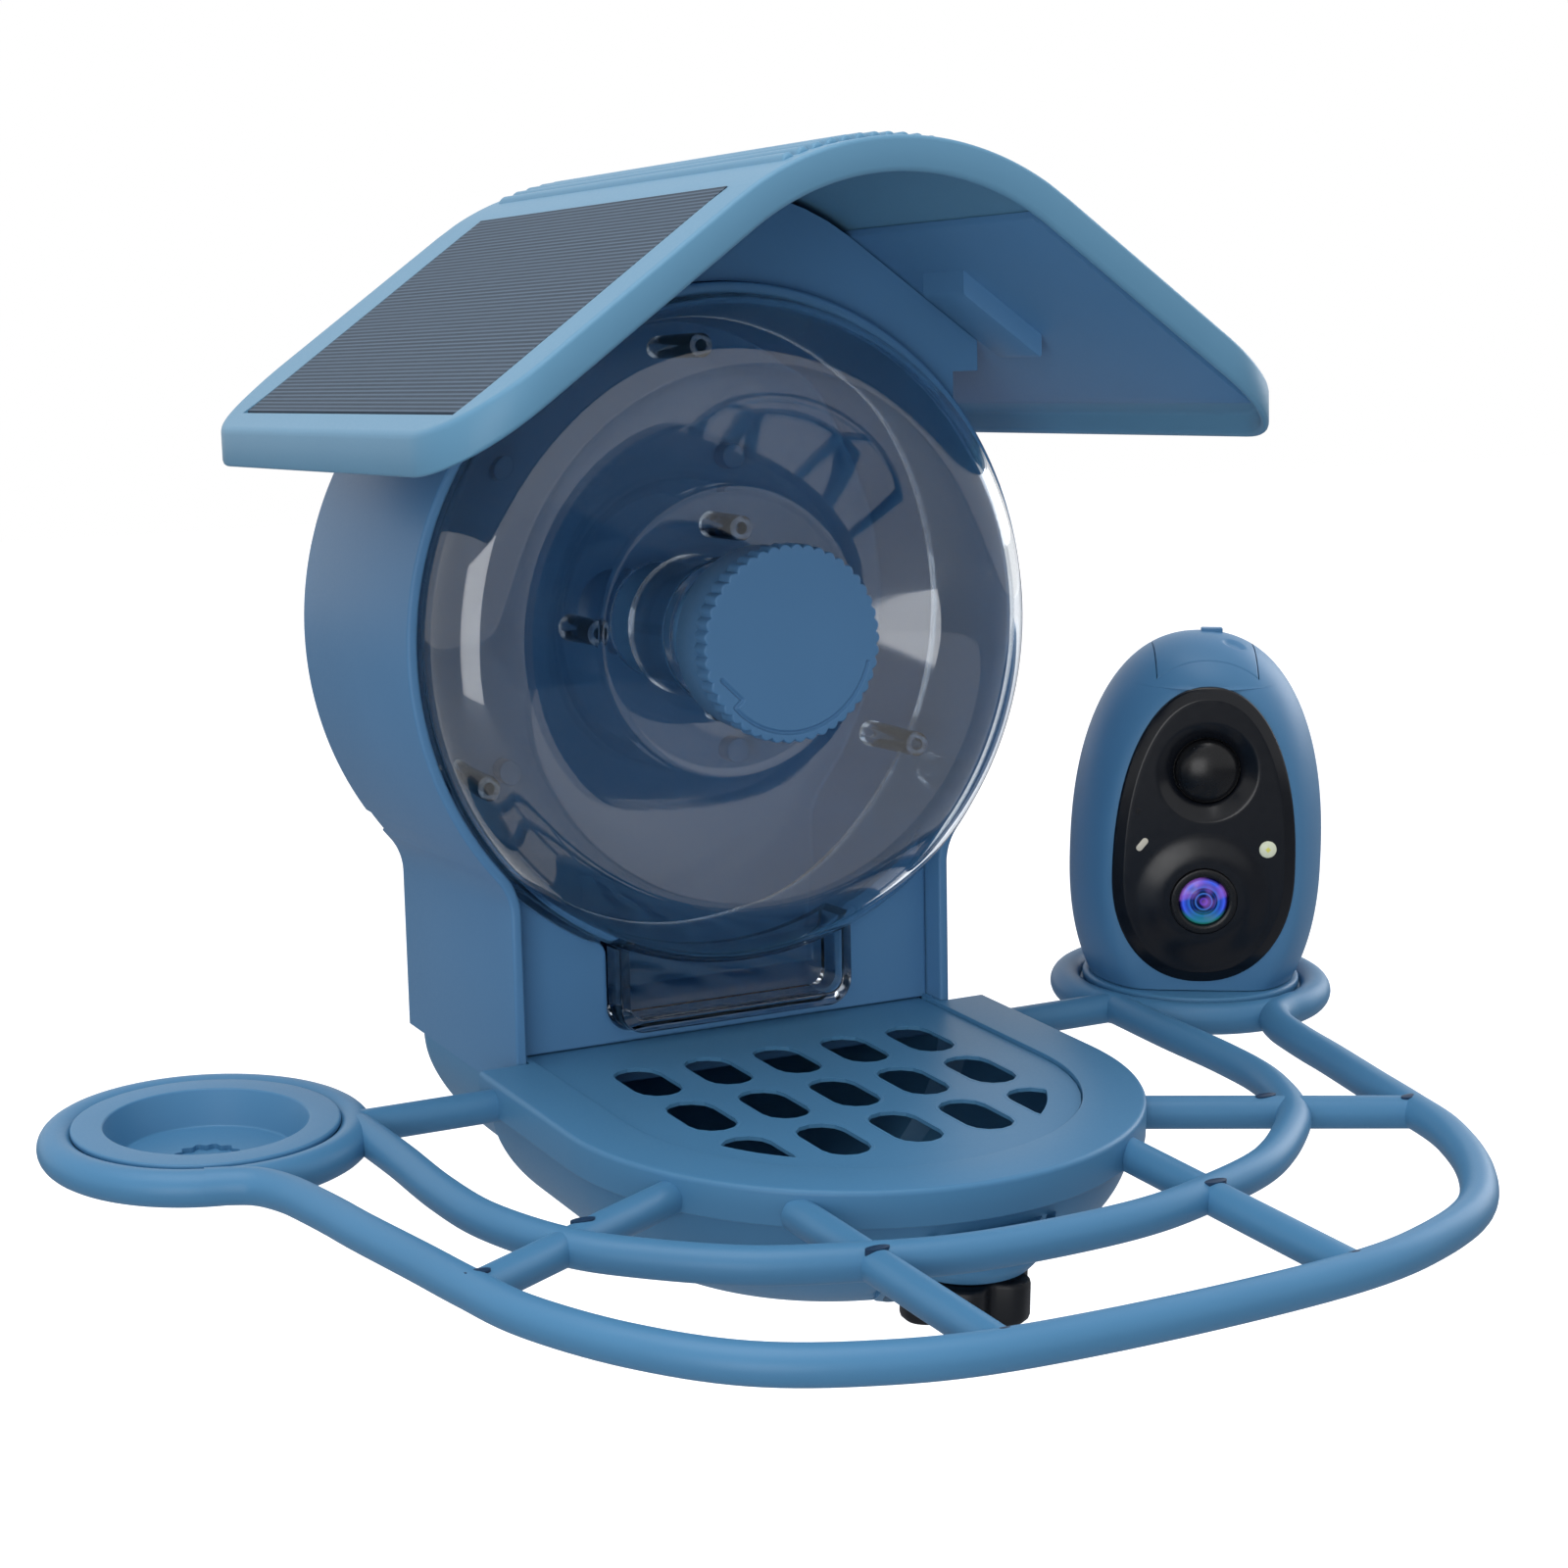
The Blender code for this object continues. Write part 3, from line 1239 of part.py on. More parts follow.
crown = egg_waist + egg_crown_height
cut(shell, egg_skin("flap_recess", -overrun, flap_thickness + flap_clearance, flap_clearance, camera))
flap_hinge = (0, flap_back, egg_height(flap_back))
flap_axis = frame("flap_axis", flap_hinge, holder=camera)
egg_skin("port_flap", 0, flap_thickness, 0, flap_axis, flap_hinge, body_plastic)

port_board_low = board_top + gap
port_board_top = port_board_low + board_thickness
block("port_board", (-port_board_half_width, -board_setback, port_board_low),
      (port_board_half_width, port_board_back, port_board_top), board_green, camera)
port_y = -port_setback
port_top = egg_height(port_half_width, flap_thickness) - gap * 3
block("usb_port", (-port_half_width, port_y - port_half_depth, port_board_top + gap),
      (port_half_width, port_y + port_half_depth, port_top), steel, camera)
cut(shell, block("port_window",
                 (-port_half_width - gap, port_y - port_half_depth - gap, crown - egg_wall - overrun),
                 (port_half_width + gap, port_y + port_half_depth + gap, crown), holder=camera))
switch_top = port_board_top + gap + switch_height
for label, radius, offset in (("power", button_radius, button_offset),
                              ("reset", reset_radius, -reset_offset)):
    centre = (offset, port_y, 0)
    block(f"{label}_switch", (offset - switch_half_width, port_y - switch_half_width, port_board_top + gap),
          (offset + switch_half_width, port_y + switch_half_width, switch_top), black_matte, camera)
    button_top = egg_height(math.hypot(offset, port_y) + radius, flap_thickness) - gap * 2
    push = frame(f"{label}_axis", (offset, port_y, button_top), holder=camera)
    rod(f"{label}_button", radius, switch_top + button_travel + gap - button_top, 0, 16, "Z",
        material=black_rubber, holder=push)
    cut(shell, rod(f"{label}_hole", radius + gap, switch_top, crown, 16, "Z", centre, holder=camera))
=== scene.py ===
"""Looks of the smart bird feeder: a clear drum hopper in a blue housing, a ridged solar roof, a slotted
tray with a looped perch, a seed cup and an egg-shaped camera.

Metres, +Z up, the front faces -Y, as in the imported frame. The sections follow the way the feeder is put
together, from the wall plate over the hopper and the roof to the tray, the seed cup and the camera.
"""
import math

import bmesh
import bpy
import numpy as np
from mathutils import Matrix


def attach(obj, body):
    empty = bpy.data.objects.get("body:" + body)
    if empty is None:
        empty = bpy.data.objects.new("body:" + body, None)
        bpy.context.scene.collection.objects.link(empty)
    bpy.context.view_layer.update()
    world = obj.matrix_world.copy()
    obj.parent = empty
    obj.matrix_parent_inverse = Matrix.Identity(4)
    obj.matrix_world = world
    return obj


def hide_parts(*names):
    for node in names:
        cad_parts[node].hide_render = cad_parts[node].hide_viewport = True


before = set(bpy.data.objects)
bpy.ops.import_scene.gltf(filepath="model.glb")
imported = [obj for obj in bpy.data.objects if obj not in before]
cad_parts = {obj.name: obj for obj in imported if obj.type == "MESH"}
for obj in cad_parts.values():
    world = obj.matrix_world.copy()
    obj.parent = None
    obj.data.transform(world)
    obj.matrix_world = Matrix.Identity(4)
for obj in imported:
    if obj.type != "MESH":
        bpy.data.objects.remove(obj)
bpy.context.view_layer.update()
scene = bpy.context.scene
scene.view_settings.view_transform = "Standard"

# Viewpoint
# The photograph is taken from the front left, a little above the tray, with a long lens that is
# tipped down and rolled by about a degree. It frames a square picture.
picture_pixels = 1600
sensor_width_mm = 36.0
focal_pixels = 2957.0
view_azimuth = math.radians(28.342)
view_down = math.radians(9.372)
view_roll = math.radians(-1.188)
view_place = np.array([-0.3450, -0.7515, 0.0836])


def facing(right, up, back, place):
    """The matrix whose columns are three axes and a place. What it stands for looks along -back."""
    turn = np.eye(4)
    turn[:3] = np.column_stack([right, up, back, place])
    return Matrix(turn.tolist())


sight = np.array([math.sin(view_azimuth) * math.cos(view_down),
                  math.cos(view_azimuth) * math.cos(view_down), -math.sin(view_down)])
level = np.array([math.cos(view_azimuth), -math.sin(view_azimuth), 0.0])
rise = np.cross(level, sight)
camera_data = bpy.data.cameras.new("viewpoint")
camera_data.sensor_width = sensor_width_mm
camera_data.lens = focal_pixels / picture_pixels * sensor_width_mm
viewpoint = bpy.data.objects.new("viewpoint", camera_data)
picture_right = math.cos(view_roll) * level + math.sin(view_roll) * rise
picture_up = -math.sin(view_roll) * level + math.cos(view_roll) * rise
viewpoint.matrix_world = facing(picture_right, picture_up, -sight, view_place)
scene.collection.objects.link(viewpoint)
scene.camera = viewpoint

# Studio
# A plain pale floor well below the hanging feeder, an even white surround and three soft panels of
# light: a broad one overhead, one from the front left and one from the right.
fill_above = 0.55
fill_below = 0.21
fill_heights = (-0.6, 0.5)
floor_level = -0.420
floor_half = 6.0
light_centre = np.array([0.0, -0.13, 0.0])


def srgb(code):
    """Turn a hex sRGB colour into linear red, green, blue and one."""
    parts = np.array([int(code[i:i + 2], 16) / 255 for i in (0, 2, 4)])
    linear = np.where(parts <= 0.04045, parts / 12.92, ((parts + 0.055) / 1.055) ** 2.4)
    return (*linear.tolist(), 1.0)


def feed(made, links):
    """Link a node's inputs to the outputs of other nodes."""
    for key, source in links.items():
        made.id_data.links.new(source, made.inputs[key])


def node(tree, kind, values=None, links=None):
    """Add one node to a tree, set its properties or inputs, and link its inputs to other outputs."""
    made = tree.nodes.new(kind)
    for key, value in (values or {}).items():
        if isinstance(key, str) and hasattr(made, key):
            setattr(made, key, value)
        else:
            made.inputs[key].default_value = value
    feed(made, links or {})
    return made


world = bpy.data.worlds.new("white_surround")
scene.world = world
world.use_nodes = True
tree = world.node_tree
tree.nodes.clear()
seen = node(tree, "ShaderNodeLightPath").outputs
mirrored = node(tree, "ShaderNodeMath", {"operation": "MAXIMUM"},
                {0: seen["Is Glossy Ray"], 1: seen["Is Transmission Ray"]})
straight = node(tree, "ShaderNodeMath", {"operation": "MAXIMUM"},
                {0: seen["Is Camera Ray"], 1: mirrored.outputs[0]})
heading = node(tree, "ShaderNodeTexCoord")
height = node(tree, "ShaderNodeSeparateXYZ", None, {0: heading.outputs["Generated"]})
fill_strength = node(tree, "ShaderNodeMapRange",
                     {1: fill_heights[0], 2: fill_heights[1], 3: fill_below, 4: fill_above},
                     {0: height.outputs["Z"]})
fill = node(tree, "ShaderNodeBackground", {"Color": srgb("F4F6FA")}, {"Strength": fill_strength.outputs[0]})
white = node(tree, "ShaderNodeBackground", {"Color": srgb("FFFFFF"), "Strength": 1.0})
both = node(tree, "ShaderNodeMixShader", None,
            {0: straight.outputs[0], 1: fill.outputs[0], 2: white.outputs[0]})
node(tree, "ShaderNodeOutputWorld", None, {"Surface": both.outputs[0]})

floor_mesh = bpy.data.meshes.new("studio_floor")
floor_mesh.from_pydata([(x * floor_half, y * floor_half, floor_level)
                        for x, y in ((-1, -1), (1, -1), (1, 1), (-1, 1))], [], [(0, 1, 2, 3)])
floor = bpy.data.objects.new("studio_floor", floor_mesh)
scene.collection.objects.link(floor)
paper = bpy.data.materials.new("pale_backdrop_paper")
paper.use_nodes = True
tree = paper.node_tree
tree.nodes.clear()
seen = node(tree, "ShaderNodeLightPath").outputs
straight = node(tree, "ShaderNodeMath", {"operation": "MAXIMUM"},
                {0: seen["Is Camera Ray"], 1: seen["Is Transmission Ray"]})
matte = node(tree, "ShaderNodeBsdfDiffuse", {"Color": srgb("A9ABAF")})
glow = node(tree, "ShaderNodeEmission", {"Color": srgb("FFFFFF")}, {"Strength": straight.outputs[0]})
lit = node(tree, "ShaderNodeAddShader", None, {0: matte.outputs[0], 1: glow.outputs[0]})
node(tree, "ShaderNodeOutputMaterial", None, {"Surface": lit.outputs[0]})
floor_mesh.materials.append(paper)

for name, spot, size, power, tint in (
        ("overhead_panel", (-0.30, -0.30, 1.35), 1.20, 14.0, "FFFFFF"),
        ("front_panel_light", (-1.05, -1.30, 0.00), 0.90, 9.3, "FFFFFF"),
        ("side_panel_light", (1.40, 0.15, 0.45), 0.80, 7.0, "F4F8FF")):
    lamp = bpy.data.lights.new(name, "AREA")
    lamp.size = size
    lamp.energy = power
    lamp.color = srgb(tint)[:3]
    light = bpy.data.objects.new(name, lamp)
    away = np.array(spot) - light_centre
    away /= np.linalg.norm(away)
    side = np.cross([0.0, 0.0, 1.0], away)
    side /= np.linalg.norm(side)
    light.matrix_world = facing(side, np.cross(away, side), away, spot)
    scene.collection.objects.link(light)

# Wall plate and its screws
# A flat moulded plate that hooks over two wall screws by its keyholes. Four zinc-plated screws hold
# it to the back of the drum.
drift_width = 0.045
grain_spread = 0.05
grain_depth = 0.00002


def fresh_material(name, values):
    """A new material with inputs of its shader set, its tree, its shader and the object's coordinates."""
    made = bpy.data.materials.new(name)
    made.use_nodes = True
    tree = made.node_tree
    shader = tree.nodes["Principled BSDF"]
    for key, value in values.items():
        shader.inputs[key].default_value = value
    return made, tree, shader, node(tree, "ShaderNodeTexCoord").outputs["Object"]


def moulded_plastic(name, colour, deep, grain_mm=0.7, roughness=0.42, relief=0.10):
    """Injection-moulded ABS with a fine spark-eroded grain.

    The eye gets a soft satin sheen that breaks up slightly: the colour drifts by a few parts in a
    hundred over a few centimetres, and the grain, drawn coarser than the real one so that it shows,
    roughens the reflections.
    """
    made, tree, shader, place = fresh_material(name, {"IOR": 1.53, "Specular IOR Level": 0.25})
    drift = node(tree, "ShaderNodeTexNoise", {"Scale": 1 / drift_width, "Detail": 2.0, "Roughness": 0.5},
                 {"Vector": place})
    mixed = node(tree, "ShaderNodeMix", {"data_type": "RGBA", 6: srgb(colour), 7: srgb(deep)},
                 {0: drift.outputs["Fac"]})
    grain = node(tree, "ShaderNodeTexNoise", {"Scale": 1000 / grain_mm, "Detail": 1.0}, {"Vector": place})
    polish = node(tree, "ShaderNodeMapRange", {3: roughness - grain_spread, 4: roughness + grain_spread},
                  {0: grain.outputs["Fac"]})
    relief_bump = node(tree, "ShaderNodeBump", {"Strength": relief, "Distance": grain_depth},
                       {"Height": grain.outputs["Fac"]})
    feed(shader, {"Base Color": mixed.outputs[2], "Roughness": polish.outputs[0],
                  "Normal": relief_bump.outputs[0]})
    return made


def bare_metal(name, colour, deep, mottle, polished, rough):
    """Metal without paint. The eye gets sharp reflections that blur and darken in small patches."""
    made, tree, shader, place = fresh_material(name, {"Metallic": 1.0})
    patches = node(tree, "ShaderNodeTexNoise", {"Scale": 1 / mottle, "Detail": 3.0}, {"Vector": place})
    tone = node(tree, "ShaderNodeMix", {"data_type": "RGBA", 6: srgb(colour), 7: srgb(deep)},
                {0: patches.outputs["Fac"]})
    polish = node(tree, "ShaderNodeMapRange", {3: polished, 4: rough}, {0: patches.outputs["Fac"]})
    feed(shader, {"Base Color": tone.outputs[2], "Roughness": polish.outputs[0]})
    return made


def dress(material, *names):
    """Give CAD nodes one material."""
    for name in names:
        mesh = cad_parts[name].data
        mesh.materials.clear()
        mesh.materials.append(material)


# Slate blue ABS for the housing, the plates and the saddle.
housing_blue = moulded_plastic("housing_abs_slate_blue", "5786B0", "507FA8")
dress(housing_blue, "rear_mount_plate")
# Zinc plate on steel: a cool bright grey with a faint spangle.
zinc = bare_metal("zinc_plated_steel", "C4C8CC", "9DA2A8", 0.0012, 0.22, 0.38)
dress(zinc, "plate_screw_1", "plate_screw_2", "plate_screw_3", "plate_screw_4", "camera_base_screw",
      "pir_sensor", "usb_port")

# Drum housing
# The drum with its pedestal is one moulding, open at the front, with a rounded rim, a post for the
# lock in the middle of its back wall and four bosses for the plate's screws.
gap = 0.0003
weld = 0.000004
rim_y = -0.0855
back_y = -0.0085
drum_radius = 0.0900
drum_wall = 0.0028
back_wall = 0.0030
pedestal_half_width = 0.0648
pedestal_fillet = 0.0150
deck_drop = 0.1074
deck_pitch = math.radians(3.2)
flange_depth = 0.0080
drum_edge = 0.0009
notch_depth = 0.0030
notch_low = -0.0555
notch_high = -0.0500
hub_post_radius = 0.0120
hub_post_length = 0.0300
screw_circle = (0.0355, 0.0425)
screw_boss_radius = 0.0036
screw_boss_length = 0.0060
panel_setback = 0.0072
panel_thickness = 0.0025
panel_reach = 0.0012
panel_rib_width = 0.0040


def angles(start, end, steps):
    """Evenly spaced angles, both ends included."""
    return np.linspace(start, end, steps + 1)


def arc(centre, radius, start, end, steps):
    """Points along an arc in a plane: centre + radius * (cos, sin)."""
    turned_by = angles(start, end, steps)
    return np.stack([centre[0] + radius * np.cos(turned_by), centre[1] + radius * np.sin(turned_by)], -1)


def eased(corners, radii, steps=4, closed=True):
    """A polygon whose corners are replaced by arcs.

    Each arc is a quadratic curve between two points that lie the corner's radius away along its
    two sides: (1-t)^2 a + 2t(1-t) corner + t^2 b.
    """
    corners = np.array(corners, float)
    radii = np.broadcast_to(radii, len(corners))
    spots = []
    for i, (corner, radius) in enumerate(zip(corners, radii)):
        ends = not closed and i in (0, len(corners) - 1)
        if radius == 0 or ends:
            spots.append(corner[None])
            continue
        before = corners[i - 1] - corner
        after = corners[(i + 1) % len(corners)] - corner
        a = corner + before / np.linalg.norm(before) * min(radius, np.linalg.norm(before) / 2)
        b = corner + after / np.linalg.norm(after) * min(radius, np.linalg.norm(after) / 2)
        t = np.linspace(0, 1, steps + 1)[:, None]
        spots.append((1 - t) ** 2 * a + 2 * t * (1 - t) * corner + t ** 2 * b)
    return np.concatenate(spots)


def sleeve(inner, outer, front, back, edges=0):
    """Half section of a round sleeve, or of a pin where inner is 0, with its corners eased."""
    return eased([(inner, front), (outer, front), (outer, back), (inner, back)], edges)


def stand(origin, pitch=0.0, turned_by=0.0):
    """A frame as a 4 x 4 matrix: turned about its own Z, then pitched about X, then moved."""
    return np.array(Matrix.Translation(origin) @ Matrix.Rotation(pitch, 4, "X")
                    @ Matrix.Rotation(turned_by, 4, "Z"))


def put(points, at=None):
    """Carry points from a frame of their own into the whole feeder's."""
    return points if at is None else points @ at[:3, :3].T + at[:3, 3]


def xyz(x, y, z):
    """Points from three coordinates, each an array or one number for all."""
    return np.stack(np.broadcast_arrays(x, y, z), -1)


def hoop(turned_by, reach, along, axis="Y"):
    """One loop of a turned shape, whose reach may change: (r cos a, along, r sin a), or with Z along."""
    u, v = reach * np.cos(turned_by), reach * np.sin(turned_by)
    return xyz(u, along, v) if axis == "Y" else xyz(u, v, along)


def loops(rows, at=None, closes_down=False):
    """A sheet of closed loops, one row after the other."""
    return put(np.array(rows), at), closes_down, True


def lathe(profile, steps, axis="Y", centre=(0, 0, 0), at=None):
    """A sheet of closed loops: (radius, along) points turned round an axis through centre."""
    profile = np.asarray(profile, float)
    turned_by = np.arange(steps) * math.tau / steps
    return loops(hoop(turned_by, profile[:, :1], profile[:, 1:], axis) + np.array(centre), at, True)


def quads(shape, closes_down, closes_across, start):
    """Corner numbers of a grid's faces. The grid may close on itself either way."""
    rows, columns = shape
    down = np.arange(rows if closes_down else rows - 1)
    across = np.arange(columns if closes_across else columns - 1)
    down, across = (side.ravel() for side in np.meshgrid(down, across, indexing="ij"))
    below = (down + 1) % rows
    beside = (across + 1) % columns
    return start + np.stack([down * columns + across, down * columns + beside,
                             below * columns + beside, below * columns + across], -1)


def piece(name, body, material, sheets, replaced=(), crease=35.0):
    """Join grids of points into one mesh object that rides on a body.

    A sheet is (points, closes down its rows, closes across its columns). Points that fall together
    are welded, flat ends are filled and the faces are turned outwards.
    """
    points = []
    faces = []
    count = 0
    for grid, closes_down, closes_across in sheets:
        points.append(grid.reshape(-1, 3))
        faces.append(quads(grid.shape[:2], closes_down, closes_across, count))
        count += len(points[-1])
    mesh = bpy.data.meshes.new(name)
    mesh.from_pydata(np.concatenate(points).tolist(), [], np.concatenate(faces).tolist())
    work = bmesh.new()
    work.from_mesh(mesh)
    bmesh.ops.remove_doubles(work, verts=work.verts, dist=weld)
    bmesh.ops.holes_fill(work, edges=[edge for edge in work.edges if edge.is_boundary], sides=0)
    bmesh.ops.recalc_face_normals(work, faces=work.faces)
    work.to_mesh(mesh)
    work.free()
    mesh.materials.append(material)
    mesh.shade_smooth()
    mesh.set_sharp_from_angle(angle=math.radians(crease))
    made = bpy.data.objects.new(name, mesh)
    scene.collection.objects.link(made)
    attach(made, body)
    if replaced:
        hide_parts(*replaced)


pedestal_centre = (pedestal_half_width + pedestal_fillet,
                   -math.sqrt((drum_radius + pedestal_fillet) ** 2
                              - (pedestal_half_width + pedestal_fillet) ** 2))
pedestal_lean = math.atan2(pedestal_centre[1], pedestal_centre[0])
notch_turns = np.arcsin(np.array([notch_low, notch_high]) / drum_radius)
notch_turns = np.concatenate([notch_turns, notch_turns + weld / drum_radius * 3])
crown_turns = np.unique(np.concatenate([angles(pedestal_lean, math.pi - pedestal_lean, 280), notch_turns,
                                        math.pi - notch_turns]))


def housing_ring(y, inset, notched=False):
    """The pedestal's sides, its fillets and the drum's circle, drawn in by inset at a place along Y."""
    half = pedestal_half_width - inset
    floor_z = -deck_drop - flange_depth - gap + inset + (y - rim_y) * math.tan(deck_pitch)
    side = arc(pedestal_centre, pedestal_fillet + inset, math.pi, math.pi + pedestal_lean, 14)
    circle = (drum_radius - inset) * np.stack([np.cos(crown_turns), np.sin(crown_turns)], -1)
    right = np.concatenate([[(half, floor_z)], side])
    ring = np.concatenate([right, circle[1:-1], right[::-1] * (-1, 1)])
    level = np.full(len(ring), y)
    if notched:
        beyond = np.abs(ring[:, 0]) > pedestal_half_width
        level -= notch_depth * (beyond & (ring[:, 1] > notch_low) & (ring[:, 1] < notch_high))
    return xyz(ring[:, 0], level, ring[:, 1])


housing_back = back_y - gap
inner_back = housing_back - back_wall
# How far a quarter round has left its first side and how far it still is from its second, as shares.
quarter_round = [(1 - math.cos(a), 1 - math.sin(a)) for a in angles(0, math.pi / 2, 4)]
rows = [housing_ring(housing_back, drum_wall), housing_ring(housing_back, drum_wall, True)]
rows += [housing_ring(housing_back - drum_edge * c, drum_edge * s, True) for c, s in quarter_round]
rows += [housing_ring(rim_y + drum_edge * s, drum_edge * c) for c, s in quarter_round]
rows += [housing_ring(rim_y + drum_edge * c, drum_wall - drum_edge * s) for c, s in quarter_round]
rows += [housing_ring(inner_back - drum_edge * s, drum_wall + drum_edge * c) for c, s in quarter_round]
hub_front = inner_back - hub_post_length
hub_post = sleeve(0, hub_post_radius, hub_front, inner_back + gap, [0, drum_edge, 0, 0])
sheets = [loops(rows), lathe(hub_post, 48)]
boss = sleeve(0, screw_boss_radius, inner_back - screw_boss_length, inner_back + gap,
              [0, drum_edge / 2, 0, 0])
for side in (-1, 1):
    for rank in (-1, 1):
        sheets.append(lathe(boss, 24, "Y", (side * screw_circle[0], 0, rank * screw_circle[1])))
panel_half = pedestal_half_width - drum_wall - gap
panel_radius = drum_radius - drum_wall - gap + panel_reach
panel_low = -deck_drop + (panel_setback + panel_thickness) * math.tan(deck_pitch) + gap
rib_reach = np.array([panel_half - panel_rib_width, pedestal_half_width - drum_wall / 2])
rib_top = -np.sqrt(panel_radius ** 2 - rib_reach ** 2)
rib_front = rim_y + panel_setback + panel_thickness + gap
for side in (-1, 1):
    sheets.append(loops([xyz(side * np.append(rib_reach, rib_reach[::-1]), y,
                             np.append(np.full(2, panel_low), rib_top[::-1]))
                         for y in (rib_front, rib_front + drum_wall)]))
piece("drum_shell", "feeder", housing_blue, sheets, ["drum_housing"])

# Front panel
# A moulded plate that closes the pedestal. It is cut out round the spout, with round lower corners,
# and the tops of the cut-out spread outwards where they meet the drum.
spout_half_width = 0.0345
spout_corner = 0.0070
spout_bottom = -0.1035
panel_clearance = 0.0012
panel_edge = 0.0005
cut_spread = 0.0040
panel_y = rim_y + panel_setback
cut_half = spout_half_width + panel_clearance
spread_x = cut_half + cut_spread
spread_top = -math.sqrt(panel_radius ** 2 - spread_x ** 2)
cut_half_path = np.concatenate([
    arc((0, 0), panel_radius, -math.pi / 2 + math.asin(panel_half / panel_radius),
        -math.pi / 2 + math.asin(spread_x / panel_radius), 8)[:-1],
    arc((spread_x, spread_top - cut_spread), cut_spread, math.pi / 2, math.pi, 6),
    arc((cut_half - spout_corner, spout_bottom - gap + spout_corner), spout_corner, 0, -math.pi / 2, 10)])
plate_corners = np.array([(panel_half, -math.sqrt(panel_radius ** 2 - panel_half ** 2)),
                          (panel_half, panel_low), (cut_half - spout_corner, panel_low)])
plate_reach = np.concatenate([[0], np.cumsum(np.linalg.norm(np.diff(plate_corners, axis=0), axis=1))])
share = np.linspace(0, plate_reach[-1], len(cut_half_path) - 1)
share = np.sort(np.concatenate([share, plate_reach[1:2]]))
plate_half_path = np.stack([np.interp(share, plate_reach, plate_corners[:, k]) for k in (0, 1)], -1)
cut_path = np.concatenate([cut_half_path * (-1, 1), cut_half_path[::-1]])
plate_path = np.concatenate([plate_half_path * (-1, 1), plate_half_path[::-1]])
across = plate_path - cut_path
width = np.linalg.norm(across, axis=1)[:, None]
across /= np.maximum(width, weld)
rows = []
for y, from_cut, from_plate in (
        [(panel_y + panel_edge * c, panel_edge * s, None) for c, s in quarter_round[::-1]]
        + [(panel_y + panel_thickness, 0, None), (panel_y + panel_thickness, None, 0)]
        + [(panel_y + panel_edge * c, None, panel_edge * s) for c, s in quarter_round]):
    spot = (cut_path + across * np.minimum(from_cut, width / 2) if from_plate is None
            else plate_path - across * np.minimum(from_plate, width / 2))
    rows.append(xyz(spot[:, 0], y, spot[:, 1]))
piece("front_panel_plate", "feeder", housing_blue, [(np.array(rows), True, False)], ["front_panel"])

# Saddle
# The block between drum and roof, moulded in the housing's blue. The frame's own solid has its shape,
# so it only gets the plastic.
dress(housing_blue, "roof_saddle")

# Hopper
# A clear dome of smoky polycarbonate with a funnel in its middle, a clear disc behind it that is
# screwed to six hollow posts, and a clear spout with a lip below.
hopper_radius = drum_radius - drum_wall - gap
hopper_crest = 0.0158
hopper_wall = 0.0022
hopper_skirt = 0.0400
crest_radius = 0.0700
recess_top_radius = 0.0560
recess_top_rise = 0.0110
recess_floor_radius = 0.0370
hub_tube_radius = 0.0190
hub_tube_depth = 0.0240
hub_fillet = 0.0016
hub_fillet_inside = 0.0012
lid_thickness = 0.0022
spindle_radius = 0.0155
post_radius = 0.0034
post_bore = 0.0016
outer_posts = (0.0740, 0.0255, (90, 210, 330))
inner_posts = (0.0290, 0.0180, (180, 60, 300))
spout_wall = 0.0028
spout_lip = 0.0036
spout_front = 0.0010
spout_depth = 0.0130
spout_edge = 0.0006
haze_width = 0.030


def clear_plastic(name, tint, roughness=0.02, ior=1.50):
    """Clear polycarbonate with a faint smoky tint.

    The eye sees dark depth behind bright edge lines; a slow haze makes the highlights uneven. Light
    falls through it as through a plain tinted pane, so what lies behind it is lit.
    """
    made, tree, shader, place = fresh_material(name, {"Base Color": srgb(tint), "Transmission Weight": 1.0,
                                                      "IOR": ior})
    haze = node(tree, "ShaderNodeTexNoise", {"Scale": 1 / haze_width, "Detail": 3.0}, {"Vector": place})
    polish = node(tree, "ShaderNodeMapRange", {3: roughness / 2, 4: roughness * 2}, {0: haze.outputs["Fac"]})
    feed(shader, {"Roughness": polish.outputs[0]})
    seen = node(tree, "ShaderNodeLightPath")
    pane = node(tree, "ShaderNodeBsdfTransparent", {"Color": srgb(tint)})
    both = node(tree, "ShaderNodeMixShader", None,
                {0: seen.outputs["Is Shadow Ray"], 1: shader.outputs[0], 2: pane.outputs[0]})
    feed(tree.nodes["Material Output"], {"Surface": both.outputs[0]})
    return made


def dome_section(inset):
    """Half section from the skirt over the crest to the recess.

    It is a quarter ellipse up to the crest, then a parabola, (1-t)^2 crest + 2t(1-t) meeting + t^2
    cone, that runs into the recess's cone without a bend.
    """
    turned_by = angles(0, math.pi / 2, 16)
    skirt = hopper_radius - inset
    inner = recess_top_radius + inset / 2
    outside = np.stack([crest_radius + (skirt - crest_radius) * np.cos(turned_by),
                        -(hopper_crest - inset) * np.sin(turned_by)], -1)
    cone_slope = recess_top_rise / (recess_top_radius - recess_floor_radius)
    crest_end = np.array([crest_radius, -(hopper_crest - inset)])
    cone_end = np.array([inner, -(recess_top_rise - inset)])
    meeting = np.array([inner + (hopper_crest - recess_top_rise) / cone_slope, crest_end[1]])
    share = np.linspace(0, 1, 17)[1:, None]
    inside = crest_end * (1 - share) ** 2 + meeting * 2 * share * (1 - share) + cone_end * share ** 2
    return np.concatenate([outside, inside])


